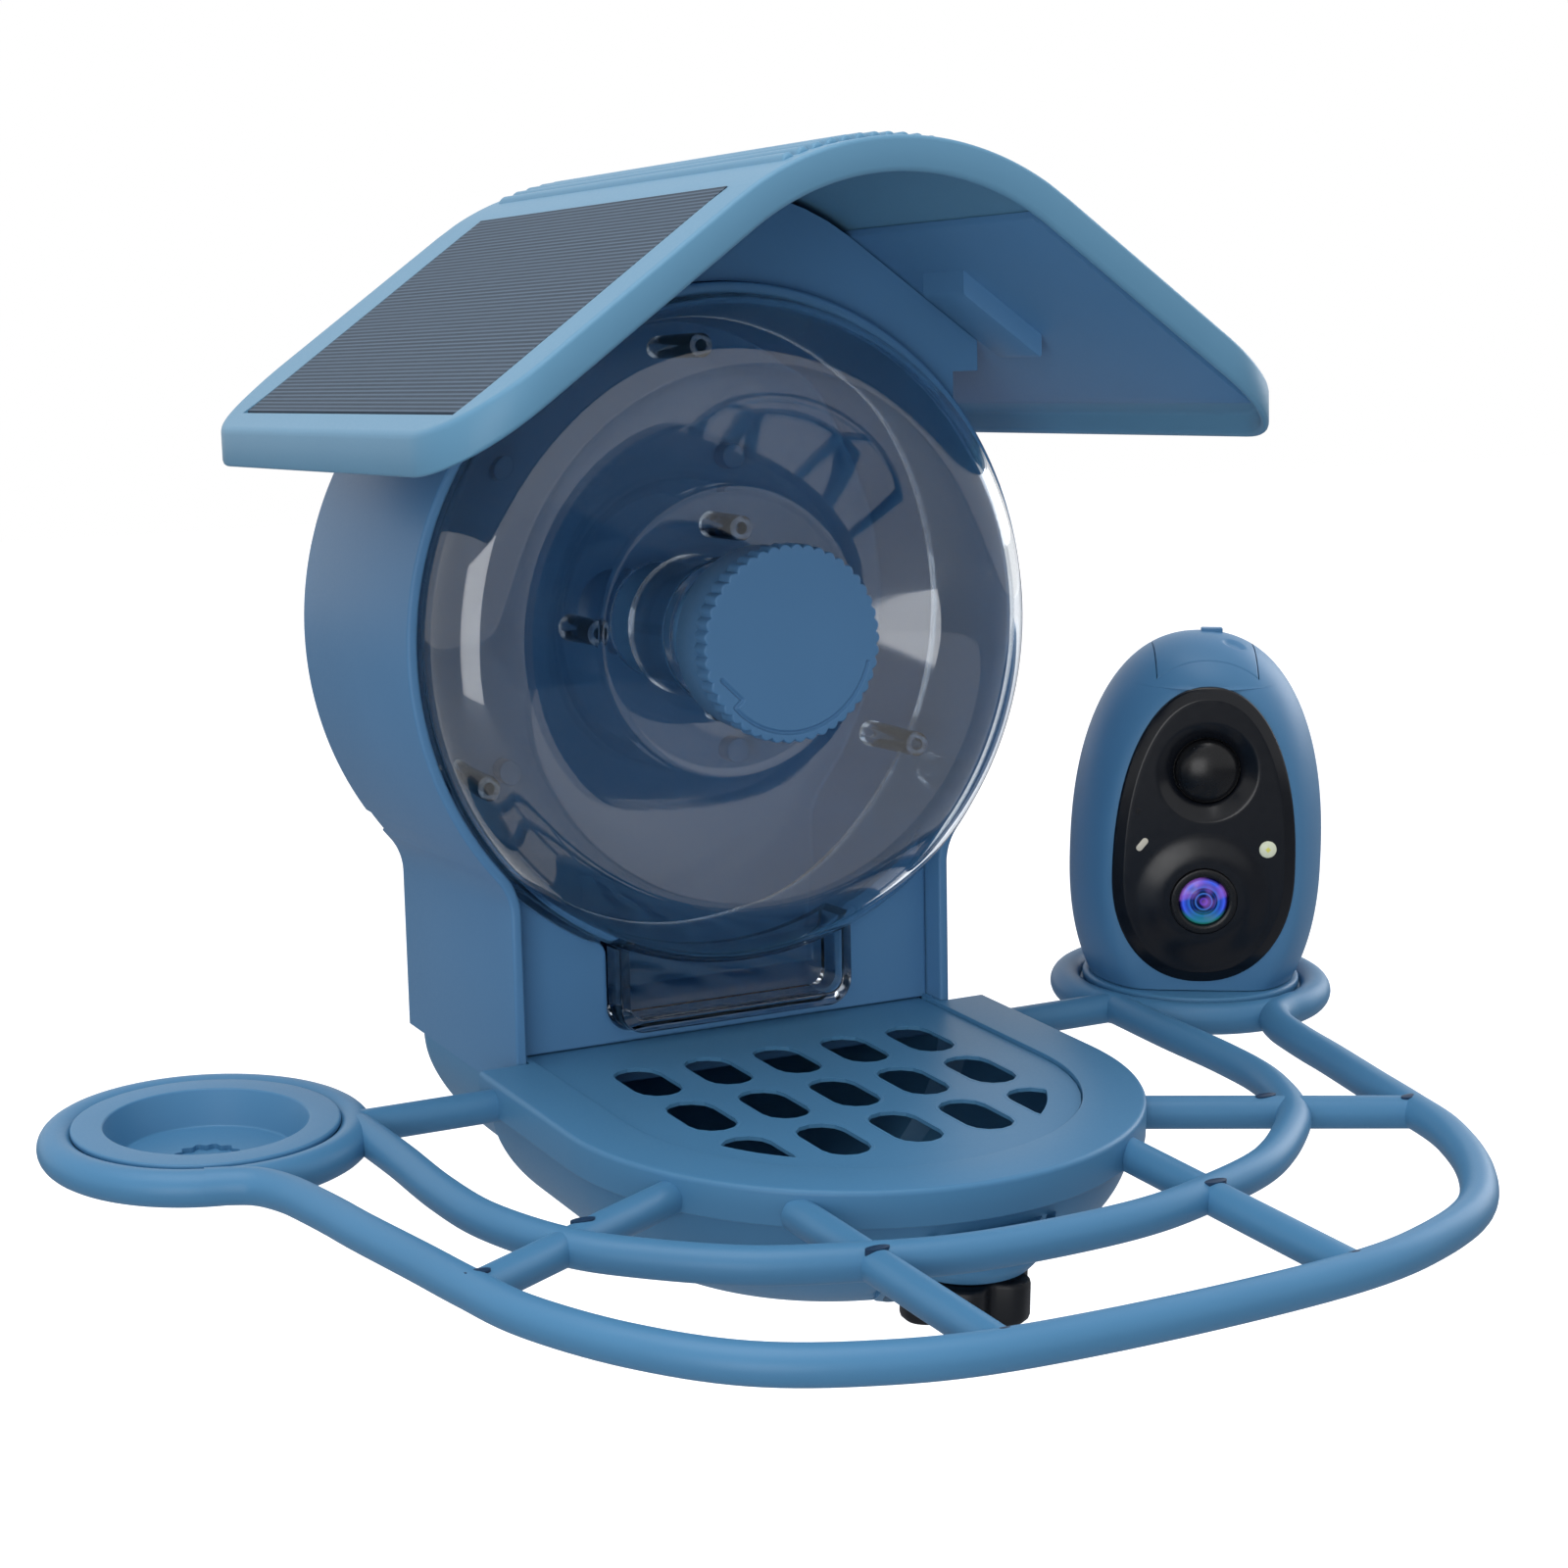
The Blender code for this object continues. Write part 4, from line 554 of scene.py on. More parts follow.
clear = clear_plastic("polycarbonate_smoke", "E2E7EC")
outer = dome_section(0)
inner = dome_section(hopper_wall)
cover_section = np.concatenate([
    [(hopper_radius, hopper_skirt)], outer,
    eased([tuple(outer[-1]), (recess_floor_radius, 0), (hub_tube_radius - hopper_wall, 0),
           (hub_tube_radius - hopper_wall, hub_tube_depth)], hub_fillet, 4, False)[1:],
    eased([(hub_tube_radius, hub_tube_depth), (hub_tube_radius, hopper_wall),
           (recess_floor_radius + hopper_wall / 2, hopper_wall), tuple(inner[-1])],
          hub_fillet_inside, 4, False)[:-1],
    inner[::-1], [(hopper_radius - hopper_wall, hopper_skirt)]])
cover_section[:, 1] += rim_y
piece("hopper_dome", "hopper", clear, [lathe(cover_section, 192)], ["hopper_cover"])

lid_front = rim_y + hopper_skirt + gap
sheets = []
for circle, length, places in (outer_posts, inner_posts):
    post = eased([(post_bore, lid_front + weld), (post_bore, lid_front - length),
                  (post_radius, lid_front - length), (post_radius + gap, lid_front + weld)],
                 [0, gap, gap, 0])
    for at in np.radians(places):
        sheets.append(lathe(post, 28, "Y", (circle * math.cos(at), 0, circle * math.sin(at))))
piece("screw_posts", "hopper", clear, sheets)
# The disc is coated: it mirrors less than the dome and lets the drum's back wall show.
thin_clear = clear_plastic("polycarbonate_coated", "DCE2E8", 0.02, 1.20)
disc = sleeve(spindle_radius + 2 * gap, hopper_radius, lid_front, lid_front + lid_thickness)
piece("hopper_back_disc", "hopper", thin_clear, [lathe(disc, 144)], ["hopper_lid"])

spout_y = rim_y + spout_front
seat_radius = hopper_radius + gap


def spout_ring(y, inset, lift):
    """The spout's U: down one side, round the corner, along the bottom and up the other side."""
    half = spout_half_width - inset
    corner = spout_corner - inset
    right = np.concatenate([[(half, -math.sqrt(seat_radius ** 2 - half ** 2))],
                            arc((half - corner, spout_bottom + lift + corner), corner, 0, -math.pi / 2, 10)])
    ring = np.concatenate([right * (-1, 1), right[::-1]])
    return xyz(ring[:, 0], y, ring[:, 1])


rows = [spout_ring(spout_y + y, inset, lift) for y, inset, lift in
        eased([(0, 0, 0), (spout_depth, 0, 0), (spout_depth, spout_wall, spout_lip),
               (0, spout_wall, spout_lip)], [spout_edge, spout_edge * 2, 0, spout_edge])]
back_x = (spout_half_width - spout_wall) * np.linspace(-1, 1, 25)
back_top = -np.sqrt(seat_radius ** 2 - back_x ** 2)
back_low = spout_bottom + spout_lip
rows_back = [xyz(back_x, spout_y + spout_depth - depth, z) for depth, z in
             ((spout_wall, back_top), (spout_wall, back_low), (weld, back_low), (weld, back_top))]
piece("spout_box", "hopper", clear, [(np.array(rows), True, False), (np.array(rows_back), True, False)],
      ["seed_spout"])

# Knob, seal and lock spindle
# A scalloped cap on a plain collar, moulded in one. An arc that ends in half an arrow is engraved in
# its face. It turns the spindle that runs through the hopper's hub.
knob_radius = 0.0251
knob_y = rim_y - 0.0330
knob_grip = 0.0062
knob_collar = 0.0123
knob_collar_radius = 0.0238
knob_bore = spindle_radius - 0.0020
knob_lobes = 46
lobe_height = 0.0009
knob_edge = 0.0005
engraved_from = 0.70
face_end = 0.925
groove_half_width = 0.00045
groove_depth = 0.00070
groove_flat = 1.4
groove_share = 0.890
arrow_share = 0.78
arrow_tail_share = 0.865
arc_start = math.radians(-15)
arc_end = math.radians(-138.5)
arrow_tail = math.radians(-159.5)
seal_width = 0.0050
seal_thickness = 0.0012
seal_edge = 0.0003


def to_segment(points, a, b):
    """Distance of points from the straight stretch between a and b."""
    share = np.clip(((points - a) @ (b - a)) / ((b - a) @ (b - a)), 0, 1)
    return np.linalg.norm(points - a - share[..., None] * (b - a), axis=-1)


def on_face(share, turned_by):
    """The place on the knob's face at a share of its radius: share * radius * (cos, sin)."""
    return share * knob_radius * np.array([math.cos(turned_by), math.sin(turned_by)])


arrow_tip = on_face(arrow_share, arc_end)
arrow_sides = ((on_face(groove_share, arc_end), arrow_tip),
               (arrow_tip, on_face(arrow_tail_share, arrow_tail)))
turned_by = np.arange(knob_lobes * 16) * math.tau / (knob_lobes * 16)
on_arc = (turned_by - math.tau < arc_start) & (turned_by - math.tau > arc_end)
rows = []
for share in np.unique(np.concatenate([np.linspace(0, engraved_from, 15),
                                       np.linspace(engraved_from, face_end, 62)])):
    flat = knob_radius * share * np.stack([np.cos(turned_by), np.sin(turned_by)], -1)
    away = np.where(on_arc, np.abs(share - groove_share) * knob_radius, 1.0)
    for a, b in arrow_sides:
        away = np.minimum(away, to_segment(flat, a, b))
    sunk = groove_depth * np.clip(groove_flat - away / groove_half_width, 0, 1)
    rows.append(xyz(flat[:, 0], knob_y + sunk, flat[:, 1]))
# The scallops stand full at a lobe's crest and sink in the clefts with 1 - |cos|.
cleft = lobe_height * (1 - np.abs(np.cos(knob_lobes / 2 * turned_by)))
knob_back = knob_grip + knob_collar
for radius, along, weight in (
        [(knob_radius - knob_edge * s, knob_edge * c, 1) for c, s in quarter_round]
        + [(knob_radius - knob_edge * c, knob_grip - knob_edge * s, 1) for c, s in quarter_round]
        + [(knob_collar_radius, knob_grip, 0), (knob_collar_radius, knob_back - knob_edge, 0),
           (knob_collar_radius - knob_edge, knob_back, 0), (knob_bore, knob_back, 0),
           (knob_bore, knob_grip, 0), (0, knob_grip, 0)]):
    rows.append(hoop(turned_by, radius - weight * cleft, knob_y + along))
# The knob and spindle are the housing's blue ABS. Their darker colour is painted shade, as the knob sits in
# shade.
knob_blue_painted_shade = moulded_plastic("knob_abs_blue_painted_shade", "527FA8", "4C779F")
piece("knob_cap", "knob", knob_blue_painted_shade, [loops(rows)], ["knob"], 50.0)
seal_front = knob_y + knob_back + gap
spindle = sleeve(0, spindle_radius, seal_front, hub_front - gap)
piece("spindle_tube", "knob", knob_blue_painted_shade, [lathe(spindle, 64)], ["lock_spindle"])
# Moulded rubber: a dull black that hardly mirrors.
rubber = moulded_plastic("rubber_black", "1B1C1F", "121316", 0.9, 0.75, 0.2)
seal_ring = sleeve(spindle_radius + gap, spindle_radius + seal_width, seal_front,
                   seal_front + seal_thickness, seal_edge)
piece("knob_seal_ring", "knob", rubber, [lathe(seal_ring, 64)], ["knob_seal"])

# Roof
# One moulding: a crowned shell with straight slopes that flatten at the eaves, round corners, a
# turned-down edge, fifteen low ridges over the crown and two pockets for the solar panels.
roof_frame = stand((0, rim_y - 0.0920, 0.0900), math.radians(-1.1))
roof_half_width = 0.1140
roof_length = 0.1768
roof_rise = 0.0313
roof_crown = 0.0750
roof_slope = math.radians(35.5)
roof_flare_width = 0.0180
roof_flare_slope = math.radians(31.0)
roof_corner = 0.0240
ridge_count = 15
ridge_pitch = 0.00385
ridge_height = 0.0013
ridge_half = 0.0014
ridge_margin = 0.0070
ridge_end = 0.0012
solar_inner = 0.0390
solar_outer = 0.1063
solar_front = 0.0140
solar_back = 0.1570
pocket_depth = 0.0019
step_width = 0.0001


def roof_height(x, drop):
    """Height of the roof at x: an arc, a straight slope and a parabola, moved square to itself by drop."""
    reach = np.abs(x)
    crown = roof_crown - drop
    tangent = crown * math.sin(roof_slope)
    flare_start = roof_half_width - roof_flare_width
    top = roof_rise - roof_crown + np.sqrt(np.maximum(crown ** 2 - reach ** 2, 0))
    straight = np.clip(reach, tangent, flare_start) - tangent
    slope = roof_rise - roof_crown + crown * math.cos(roof_slope) - straight * math.tan(roof_slope)
    beyond = np.maximum(reach - flare_start, 0)
    fall = math.tan(roof_slope) - math.tan(roof_flare_slope)
    slope -= math.tan(roof_slope) * beyond - fall * beyond ** 2 / (2 * roof_flare_width)
    return np.where(reach <= tangent, top, slope)


# Columns of points run across the roof: close together over the ridges, in pairs at the pockets' steps,
# and round the corners, where a column keeps one angle of the corner's circle.
ridge_reach = ridge_count * ridge_pitch / 2
corner_x = roof_half_width - roof_corner
corner_turns = angles(0, math.pi / 2, 16)
side_x = np.concatenate([np.linspace(0, ridge_reach, 121), np.linspace(ridge_reach, solar_inner - gap, 8),
                         [solar_inner - gap + step_width, corner_x],
                         np.linspace(solar_inner + 0.005, solar_outer - gap, 9)])
side_x = np.unique(side_x[side_x <= corner_x])
outer_step = np.array([solar_outer + gap, solar_outer + gap + step_width])
step_turns = np.arcsin((outer_step - corner_x) / roof_corner)
side_turns = np.sort(np.concatenate([corner_turns[1:], step_turns]))
column_x = np.concatenate([side_x, np.full(len(side_turns), corner_x)])
column_turn = np.concatenate([np.zeros(len(side_x)), side_turns])
column_side = np.concatenate([-np.ones(len(column_x) - 1), np.ones(len(column_x))])
column_x = np.concatenate([column_x[:0:-1], column_x])
column_turn = np.concatenate([column_turn[:0:-1], column_turn])
pocket_rows = [solar_front - gap - step_width, solar_front - gap,
               solar_back + gap, solar_back + gap + step_width]
ridge_rows = ridge_margin + np.array([0, 0.0004, 0.0008, ridge_end])
corner_rows = roof_corner - roof_corner * np.cos(corner_turns)
row_y = np.unique(np.concatenate([
    [0], corner_rows, ridge_rows, pocket_rows, np.linspace(roof_corner, roof_length - roof_corner, 24),
    roof_length - ridge_rows, roof_length - corner_rows]))


def roof_spots(inset, drop, detailed=False):
    """The whole roof's surface as a grid over its plan, drawn in by inset and sunk by drop."""
    radius = roof_corner - inset
    x = column_side * (column_x + radius * np.sin(column_turn))
    front = roof_corner - radius * np.cos(column_turn)
    y = np.clip(row_y[:, None], front, roof_length - front)
    x = np.broadcast_to(x, y.shape)
    z = roof_height(x, drop)
    if detailed:
        along = np.minimum(y - ridge_margin, roof_length - ridge_margin - y)
        ends = np.sqrt(1 - np.clip(1 - along / ridge_end, 0, 1) ** 2)
        across = (np.mod(x / ridge_pitch + 0.5, 1) - 0.5) * ridge_pitch / ridge_half
        ridged = (np.abs(x) < ridge_reach) & (along > 0)
        z = z + ridged * ridge_height * ends * np.sqrt(np.maximum(1 - across ** 2, 0))
        reach = np.abs(x) - step_width / 2
        in_pocket = ((reach > solar_inner - gap) & (reach < solar_outer + gap)
                     & (y > solar_front - gap - step_width / 2) & (y < solar_back + gap + step_width / 2))
        z = z - in_pocket * pocket_depth / math.cos(roof_slope)
    return np.stack([x, y, z], -1)


def border(grid):
    """The points round the edge of a grid, in order."""
    return np.concatenate([grid[0, :-1], grid[:-1, -1], grid[-1, :0:-1], grid[:0:-1, 0]])


def plate(layers, at):
    """A plate's sheets: its first and last layer whole, and the borders of all of them as its edge."""
    return [(put(layers[0], at), False, False), loops([border(layer) for layer in layers], at),
            (put(layers[-1], at), False, False)]


edge_profile = [(0.0012, 0), (0.0006, 0.00015), (0.0002, 0.0005), (0, 0.0011), (0, 0.0070), (0.0002, 0.0076),
                (0.0006, 0.0080), (0.0011, 0.0082), (0.0016, 0.0082), (0.0021, 0.0078), (0.0022, 0.0072),
                (0.0022, 0.0046), (0.0024, 0.0042), (0.0028, 0.0040)]
layers = [roof_spots(inset, drop, drop == 0) for inset, drop in edge_profile]
# The roof is moulded in the housing's blue ABS. Its lighter colour is painted light for the light that falls
# on its top.
roof_blue_painted_light = moulded_plastic("roof_abs_blue_painted_light", "6394B3", "5E8EAD")
piece("roof_skin", "feeder", roof_blue_painted_light, plate(layers, roof_frame), ["roof_shell"])

# Cover plates under the roof
# A thin plate below each solar panel closes off its wiring. It follows the roof's slope and carries a
# flat cable duct with rounded edges, both moulded in the housing's blue.
plate_inner = 0.0400
plate_edge = 0.0003
plate_margin = 0.0100
plate_drop = 0.0043
plate_thickness = 0.0015
duct_inner = 0.0540
duct_outer = 0.0775
duct_front = 0.0636
duct_width = 0.0200
duct_height = 0.0050
duct_edge = 0.0009


def slab(side, reach, along, drop, thickness, edge):
    """A plate that follows the roof's height at a depth below it, with rounded lower edges."""
    layers = []
    for inset, level in ((0, drop), (0, drop + thickness - edge),
                         (edge * 0.3, drop + thickness - edge * 0.3), (edge, drop + thickness)):
        x, y = np.meshgrid(np.linspace(reach[0] + inset, reach[1] - inset, 25),
                           np.linspace(along[0] + inset, along[1] - inset, 3), indexing="ij")
        layers.append(np.stack([side * x, y, roof_height(x, level)], -1))
    return plate(layers, roof_frame)


for side, label in ((-1, "left"), (1, "right")):
    cover = slab(side, (plate_inner, roof_half_width - plate_margin),
                 (plate_margin, roof_length - plate_margin), plate_drop, plate_thickness, plate_edge)
    duct = slab(side, (duct_inner, duct_outer), (duct_front, duct_front + duct_width), plate_drop + weld * 5,
                plate_thickness + duct_height, duct_edge)
    piece(f"cover_plate_{label}", "feeder", housing_blue, cover + duct, [f"panel_backing_{label}"])

# Solar panels
# Flat laminates, let into the roof's pockets. Fine bright conductors run along each panel over dark
# blue cells.
line_pitch = 0.00150
level_pitch = line_pitch * math.cos(roof_slope)
cell_mottle = 0.006


def solar_laminate(name):
    """Cells under a matt film, crossed by fine conductors that run from front to back.

    The eye sees dark slate blue with even, paler lines. Their spacing is that of the real panel, laid
    out in X because the lines run along Y on a slope.
    """
    made, tree, shader, place = fresh_material(name, {"Roughness": 0.6, "Specular IOR Level": 0.08})
    parted = node(tree, "ShaderNodeSeparateXYZ", None, {0: place})
    turns = node(tree, "ShaderNodeMath", {"operation": "MULTIPLY", 1: math.tau / level_pitch},
                 {0: parted.outputs["X"]})
    wave = node(tree, "ShaderNodeMath", {"operation": "SINE"}, {0: turns.outputs[0]})
    line = node(tree, "ShaderNodeMapRange", {1: -0.2, 2: 0.9, 3: 0.0, 4: 1.0}, {0: wave.outputs[0]})
    drift = node(tree, "ShaderNodeTexNoise", {"Scale": 1 / cell_mottle, "Detail": 3.0}, {"Vector": place})
    cell = node(tree, "ShaderNodeMix", {"data_type": "RGBA", 6: srgb("37434F"), 7: srgb("404D5C")},
                {0: drift.outputs["Fac"]})
    tone = node(tree, "ShaderNodeMix", {"data_type": "RGBA", 7: srgb("5B6C7E")},
                {0: line.outputs[0], 6: cell.outputs[2]})
    ridge = node(tree, "ShaderNodeBump", {"Strength": 0.35, "Distance": 0.00005},
                 {"Height": wave.outputs[0]})
    feed(shader, {"Base Color": tone.outputs[2], "Normal": ridge.outputs[0]})
    return made


dress(solar_laminate("solar_cell_laminate"), "solar_panel_left", "solar_panel_right")

# Perch frame
# One moulding: the tray's flange with its seat for the grille, two rings with ledges, two round rails
# and the struts between them. The rails are smooth curves through their turning places.
deck = stand((0, rim_y, -deck_drop), deck_pitch)
tray_half_width = 0.0758
tray_centre = 0.0535
flange_rise = 0.0011
flange_skin = 0.0042
flange_wall = 0.0033
flange_edge = 0.0014
fine_edge = 0.0003
grille_half_width = 0.0597
grille_thickness = 0.0010
grille_ledge = 0.0030
tube_drop = 0.0051
tube_radius = 0.0045
tube_sides = 28
ring_offset = 0.1467
ring_radius = 0.0358
ring_tube_radius = 0.00445
ledge_width = 0.0032
ledge_depth = 0.0026
seat_drop = 0.0009
seat_flange = 0.0030
inner_rail_radius = 0.0044
outer_rail_reach = 0.2010
outer_rail_half = ring_offset - 0.0047
inner_rail_reach = 0.1520
inner_rail_half = ring_offset - ring_radius + 0.0006
strut_radius = 0.0042
strut_drop = 0.0002
rear_strut_y = -0.0098
front_strut_x = 0.0450
front_strut_end = -0.1995
slant_start = (0.0649, -0.0889)
slant_end = (outer_rail_half * 0.889, -outer_rail_reach * 0.5995)
outer_shares = ((0.0, 1.0), (0.31, 0.99), (0.50, 0.958), (0.66, 0.900), (0.78, 0.805), (0.865, 0.690),
                (0.900, 0.590), (0.925, 0.500), (0.958, 0.388), (0.973, 0.328), (0.989, 0.274),
                (1.002, 0.239), (1.021, 0.209), (1.042, 0.191), (1.074, 0.179), (1.113, 0.169))
inner_shares = ((0.0, 1.0), (0.22, 0.990), (0.41, 0.953), (0.62, 0.890), (0.80, 0.785), (0.900, 0.695),
                (0.975, 0.556), (0.998, 0.415), (1.0, 0.25), (1.009, 0.086))


def spline(points, steps):
    """A Catmull-Rom curve through points, each piece (2b + (c-a)t + ...) / 2 in powers of t."""
    a = np.concatenate([[2 * points[0] - points[1]], points[:-2]])
    b, c = points[:-1], points[1:]
    d = np.concatenate([points[2:], [2 * points[-1] - points[-2]]])
    t = (np.arange(steps) / steps)[:, None, None]
    curve = (2 * b + (c - a) * t + (2 * a - 5 * b + 4 * c - d) * t ** 2
             + (3 * b - 3 * c + d - a) * t ** 3) / 2
    return np.concatenate([curve.transpose(1, 0, 2).reshape(-1, points.shape[1]), points[-1:]])


def tube(path, radius, closed=False):
    """A round tube along a level path, with its ends flat: path + radius * (cos across + sin up)."""
    if closed:
        along = np.roll(path, -1, 0) - np.roll(path, 1, 0)
    else:
        along = np.gradient(path, axis=0)
    along /= np.linalg.norm(along, axis=1)[:, None]
    across = xyz(along[:, 1], -along[:, 0], 0.0)
    up = np.array([0, 0, 1.0])
    round_by = (np.arange(tube_sides) * math.tau / tube_sides)[None, :, None]
    circles = path[:, None] + radius * (np.cos(round_by) * across[:, None] + np.sin(round_by) * up)
    return loops(circles, deck, closed)


def rail(shares, half, reach):
    """A rail's middle line over the whole width, mirrored."""
    line = np.array(shares) * (half, -reach)
    right = xyz(line[:, 0], line[:, 1], -tube_drop)
    return spline(np.concatenate([right[:0:-1] * (-1, 1, 1), right]), 8)


def tray_ring(half, back, z):
    """A D: a straight side from the back, half a circle at the front, and the other side."""
    front = arc((0, -tray_centre), half, math.pi, math.tau, 120)
    side = np.column_stack([np.full(8, -half), np.linspace(back, -tray_centre, 9)[:-1]])
    ring = np.concatenate([side, front, side[::-1] * (-1, 1)])
    return xyz(ring[:, 0], ring[:, 1], z)


tray_back = -gap - flange_depth * math.tan(deck_pitch)
pocket_floor = -grille_thickness - gap
pocket_half = grille_half_width + gap
flange_inner = tray_half_width - flange_wall
ledge_inner = grille_half_width - grille_ledge
flange_section = eased([(tray_half_width, -flange_depth), (tray_half_width, flange_rise),
                        (pocket_half, flange_rise), (pocket_half, pocket_floor), (ledge_inner, pocket_floor),
                        (ledge_inner, -flange_skin), (flange_inner, -flange_skin),
                        (flange_inner, -flange_depth)],
                       [0.0004, flange_edge, fine_edge, fine_edge, fine_edge, fine_edge, 0.0006, 0.0004])
flange = np.array([tray_ring(half, tray_back, z) for half, z in flange_section])
sheets = [(put(flange, deck), True, False)]
tongue_x, tongue_z = np.transpose([(pocket_half, pocket_floor), (panel_half, pocket_floor),
                                   (panel_half, flange_rise), (pocket_half, flange_rise)])
for side in (-1, 1):
    sheets.append(loops([xyz(side * tongue_x, y, tongue_z)
                         for y in (tray_back - weld, panel_setback - gap)], deck))
outer_rail = rail(outer_shares, outer_rail_half, outer_rail_reach)
sheets.append(tube(outer_rail, tube_radius))
sheets.append(tube(rail(inner_shares, inner_rail_half, inner_rail_reach), inner_rail_radius))
strut_z = -tube_drop - strut_drop
ledge_top = -seat_drop - seat_flange - gap
ledge_end = ring_radius - tube_radius - ledge_width
ledge = eased([(ring_radius, ledge_top - ledge_depth), (ring_radius, ledge_top), (ledge_end, ledge_top),
               (ledge_end, ledge_top - ledge_depth)], 0.0005)
flange_middle = tray_half_width - flange_wall / 2
front_start = -tray_centre - math.sqrt(flange_middle ** 2 - front_strut_x ** 2)
struts = np.array([((flange_middle, rear_strut_y), (inner_rail_half, rear_strut_y)),
                   ((front_strut_x, front_start), (front_strut_x, front_strut_end)),
                   (slant_start, slant_end)])
for side in (-1, 1):
    ring_line = arc((side * ring_offset, 0), ring_radius, 0, math.tau, 120)[:-1]
    sheets.append(tube(xyz(ring_line[:, 0], ring_line[:, 1], strut_z), ring_tube_radius, True))
    sheets.append(lathe(ledge, 96, "Z", (side * ring_offset, 0, 0), deck))
    for start, end in struts * (side, 1):
        sheets.append(tube(np.linspace((*start, strut_z), (*end, strut_z), 3), strut_radius))
# The tray, perch, bowl, cups and washer are the housing's blue ABS. Their darker colour is painted shade for
# the roof's shadow over the tray.
base_blue_painted_shade = moulded_plastic("base_abs_blue_painted_shade", "4E84AC", "487CA3")
piece("perch_moulding", "feeder", base_blue_painted_shade, sheets, ["perch_frame"], 50.0)

# Drain holes
# Where a strut meets a rail the moulding has a small drain hole in its top. Each is drawn as a thin button
# that lies on the tube. Its deep blue is painted shade for the inside of the hole.
drain_rise = 0.0003
drain_depth = 0.002
drain_half = (0.0030, 0.0013)
drain_places = ((front_strut_x, -0.1480), (front_strut_x, -0.1985), (0.0940, -0.1033), (0.1262, -0.1205))
turned_by = np.arange(32) * math.tau / 32
sheets = []
for side in (-1, 1):
    for x, y in drain_places:
        rows = [xyz(side * x + drain_half[0] * share * np.cos(turned_by),
                    y + drain_half[1] * share * np.sin(turned_by),
                    -tube_drop + tube_radius - drain_rise * share ** 2) for share in (0, 0.5, 0.8, 1)]
        sheets.append(loops(rows + [rows[-1] - (0, 0, drain_depth)], deck))
piece("drain_painted_shade", "feeder", moulded_plastic("drain_hole_painted_shade_blue", "1D3A58", "18324E"), sheets)

# Tray grille
# A flat plate with rows of round-ended slots. The frame's own solid has its shape, and a thin rounded
# rim stands in each slot's mouth.
slot_half_width = 0.0068
slot_length = 0.0249
slot_pitch = (0.0200, 0.0298)
slot_first_row = 0.0250
slot_margin = 0.0083
slot_rim = 0.0003
slot_lift = 0.00005
dress(base_blue_painted_shade, "tray_grille")
field_radius = grille_half_width - slot_margin
slot_stretch = slot_length / 2 - slot_half_width
rim_section = eased([(slot_rim, -slot_rim), (slot_rim, slot_lift), (-slot_rim / 2, slot_lift),
                     (-slot_rim / 2, -grille_thickness), (slot_rim, -grille_thickness)],
                    [0, 0.0002, 0.0003, 0.0002, 0])
sheets = []
for row in range(3):
    for column in range(-2, 3):
        centre = np.array([column * slot_pitch[0], -slot_first_row - row * slot_pitch[1]])
        rows = []
        for grow, z in rim_section:
            radius = slot_half_width + grow
            side = np.linspace((-radius, slot_stretch), (-radius, -slot_stretch), 14)[1:-1]
            ends = [arc((0, slot_stretch), radius, 0, math.pi, 24),
                    arc((0, -slot_stretch), radius, math.pi, math.tau, 24)]
            outline = centre + np.concatenate([ends[0], side, ends[1], -side])
            if row == 2:
                outline += (0, tray_centre)
                outline *= np.minimum(1, (field_radius + grow) / np.linalg.norm(outline, axis=1))[:, None]
                outline -= (0, tray_centre)
            rows.append(xyz(outline[:, 0], outline[:, 1], z))
        sheets.append(loops(rows, deck, True))
piece("slot_rims", "feeder", base_blue_painted_shade, sheets)

# Bowl
# The deep scoop under the tray. Its plan is the tray's D in front and the pedestal's rectangle behind,
# and it shrinks downwards as a rounded scoop. A boss with a turned brass bush for the thumb screw stands
# in a round well.
bowl_depth = 0.0425
bowl_wall = 0.0026
bowl_centre = 0.0246
bowl_inset = 0.0035
bowl_shoulder = 0.0040
drum_depth = 0.0770
boss_radius = 0.0180
boss_y = -0.1123
boss_bottom = 0.0245
boss_top = 0.0120
boss_edge = 0.0028
well_radius = 0.0190
well_wall = 0.0020
well_rim = 0.0007
well_edge = 0.0006
insert_radius = 0.0055
insert_bore = 0.0033
insert_length = 0.0090


def bowl_ring(inset, share):
    """One level: the plan drawn in about its middle by the square root of 1 - share squared."""
    half = tray_half_width - bowl_inset - inset
    rear = pedestal_half_width - inset
    corner = pedestal_fillet - inset
    front = arc((0, -tray_centre), half, math.pi, math.tau, 96)
    right = np.concatenate([[(half, -tray_centre * k) for k in (0.75, 0.5, 0.25)],
                            [(half, -inset), (rear, bowl_shoulder - inset)],
                            arc((rear - corner, drum_depth - inset - corner), corner, 0, math.pi / 2, 12)])
    plan = np.concatenate([front, right, right[::-1] * (-1, 1)])
    draw = math.sqrt(1 - share ** 2)
    return xyz(plan[:, 0] * draw, -bowl_centre + (plan[:, 1] + bowl_centre) * draw,
               -flange_depth - gap - share * (bowl_depth - inset))


def bowl_level(x, y):
    """Height of the bowl's skin below a place: the share at which the drawn-in plan passes through it."""
    reach = x ** 2 + (y + bowl_centre) ** 2
    half = (tray_centre - bowl_centre) * (y + bowl_centre)
    rest = (tray_half_width - bowl_inset) ** 2 - (tray_centre - bowl_centre) ** 2
    draw = reach / (np.sqrt(half ** 2 + reach * rest) - half)
    return -flange_depth - gap - np.sqrt(np.maximum(1 - draw ** 2, 0)) * bowl_depth


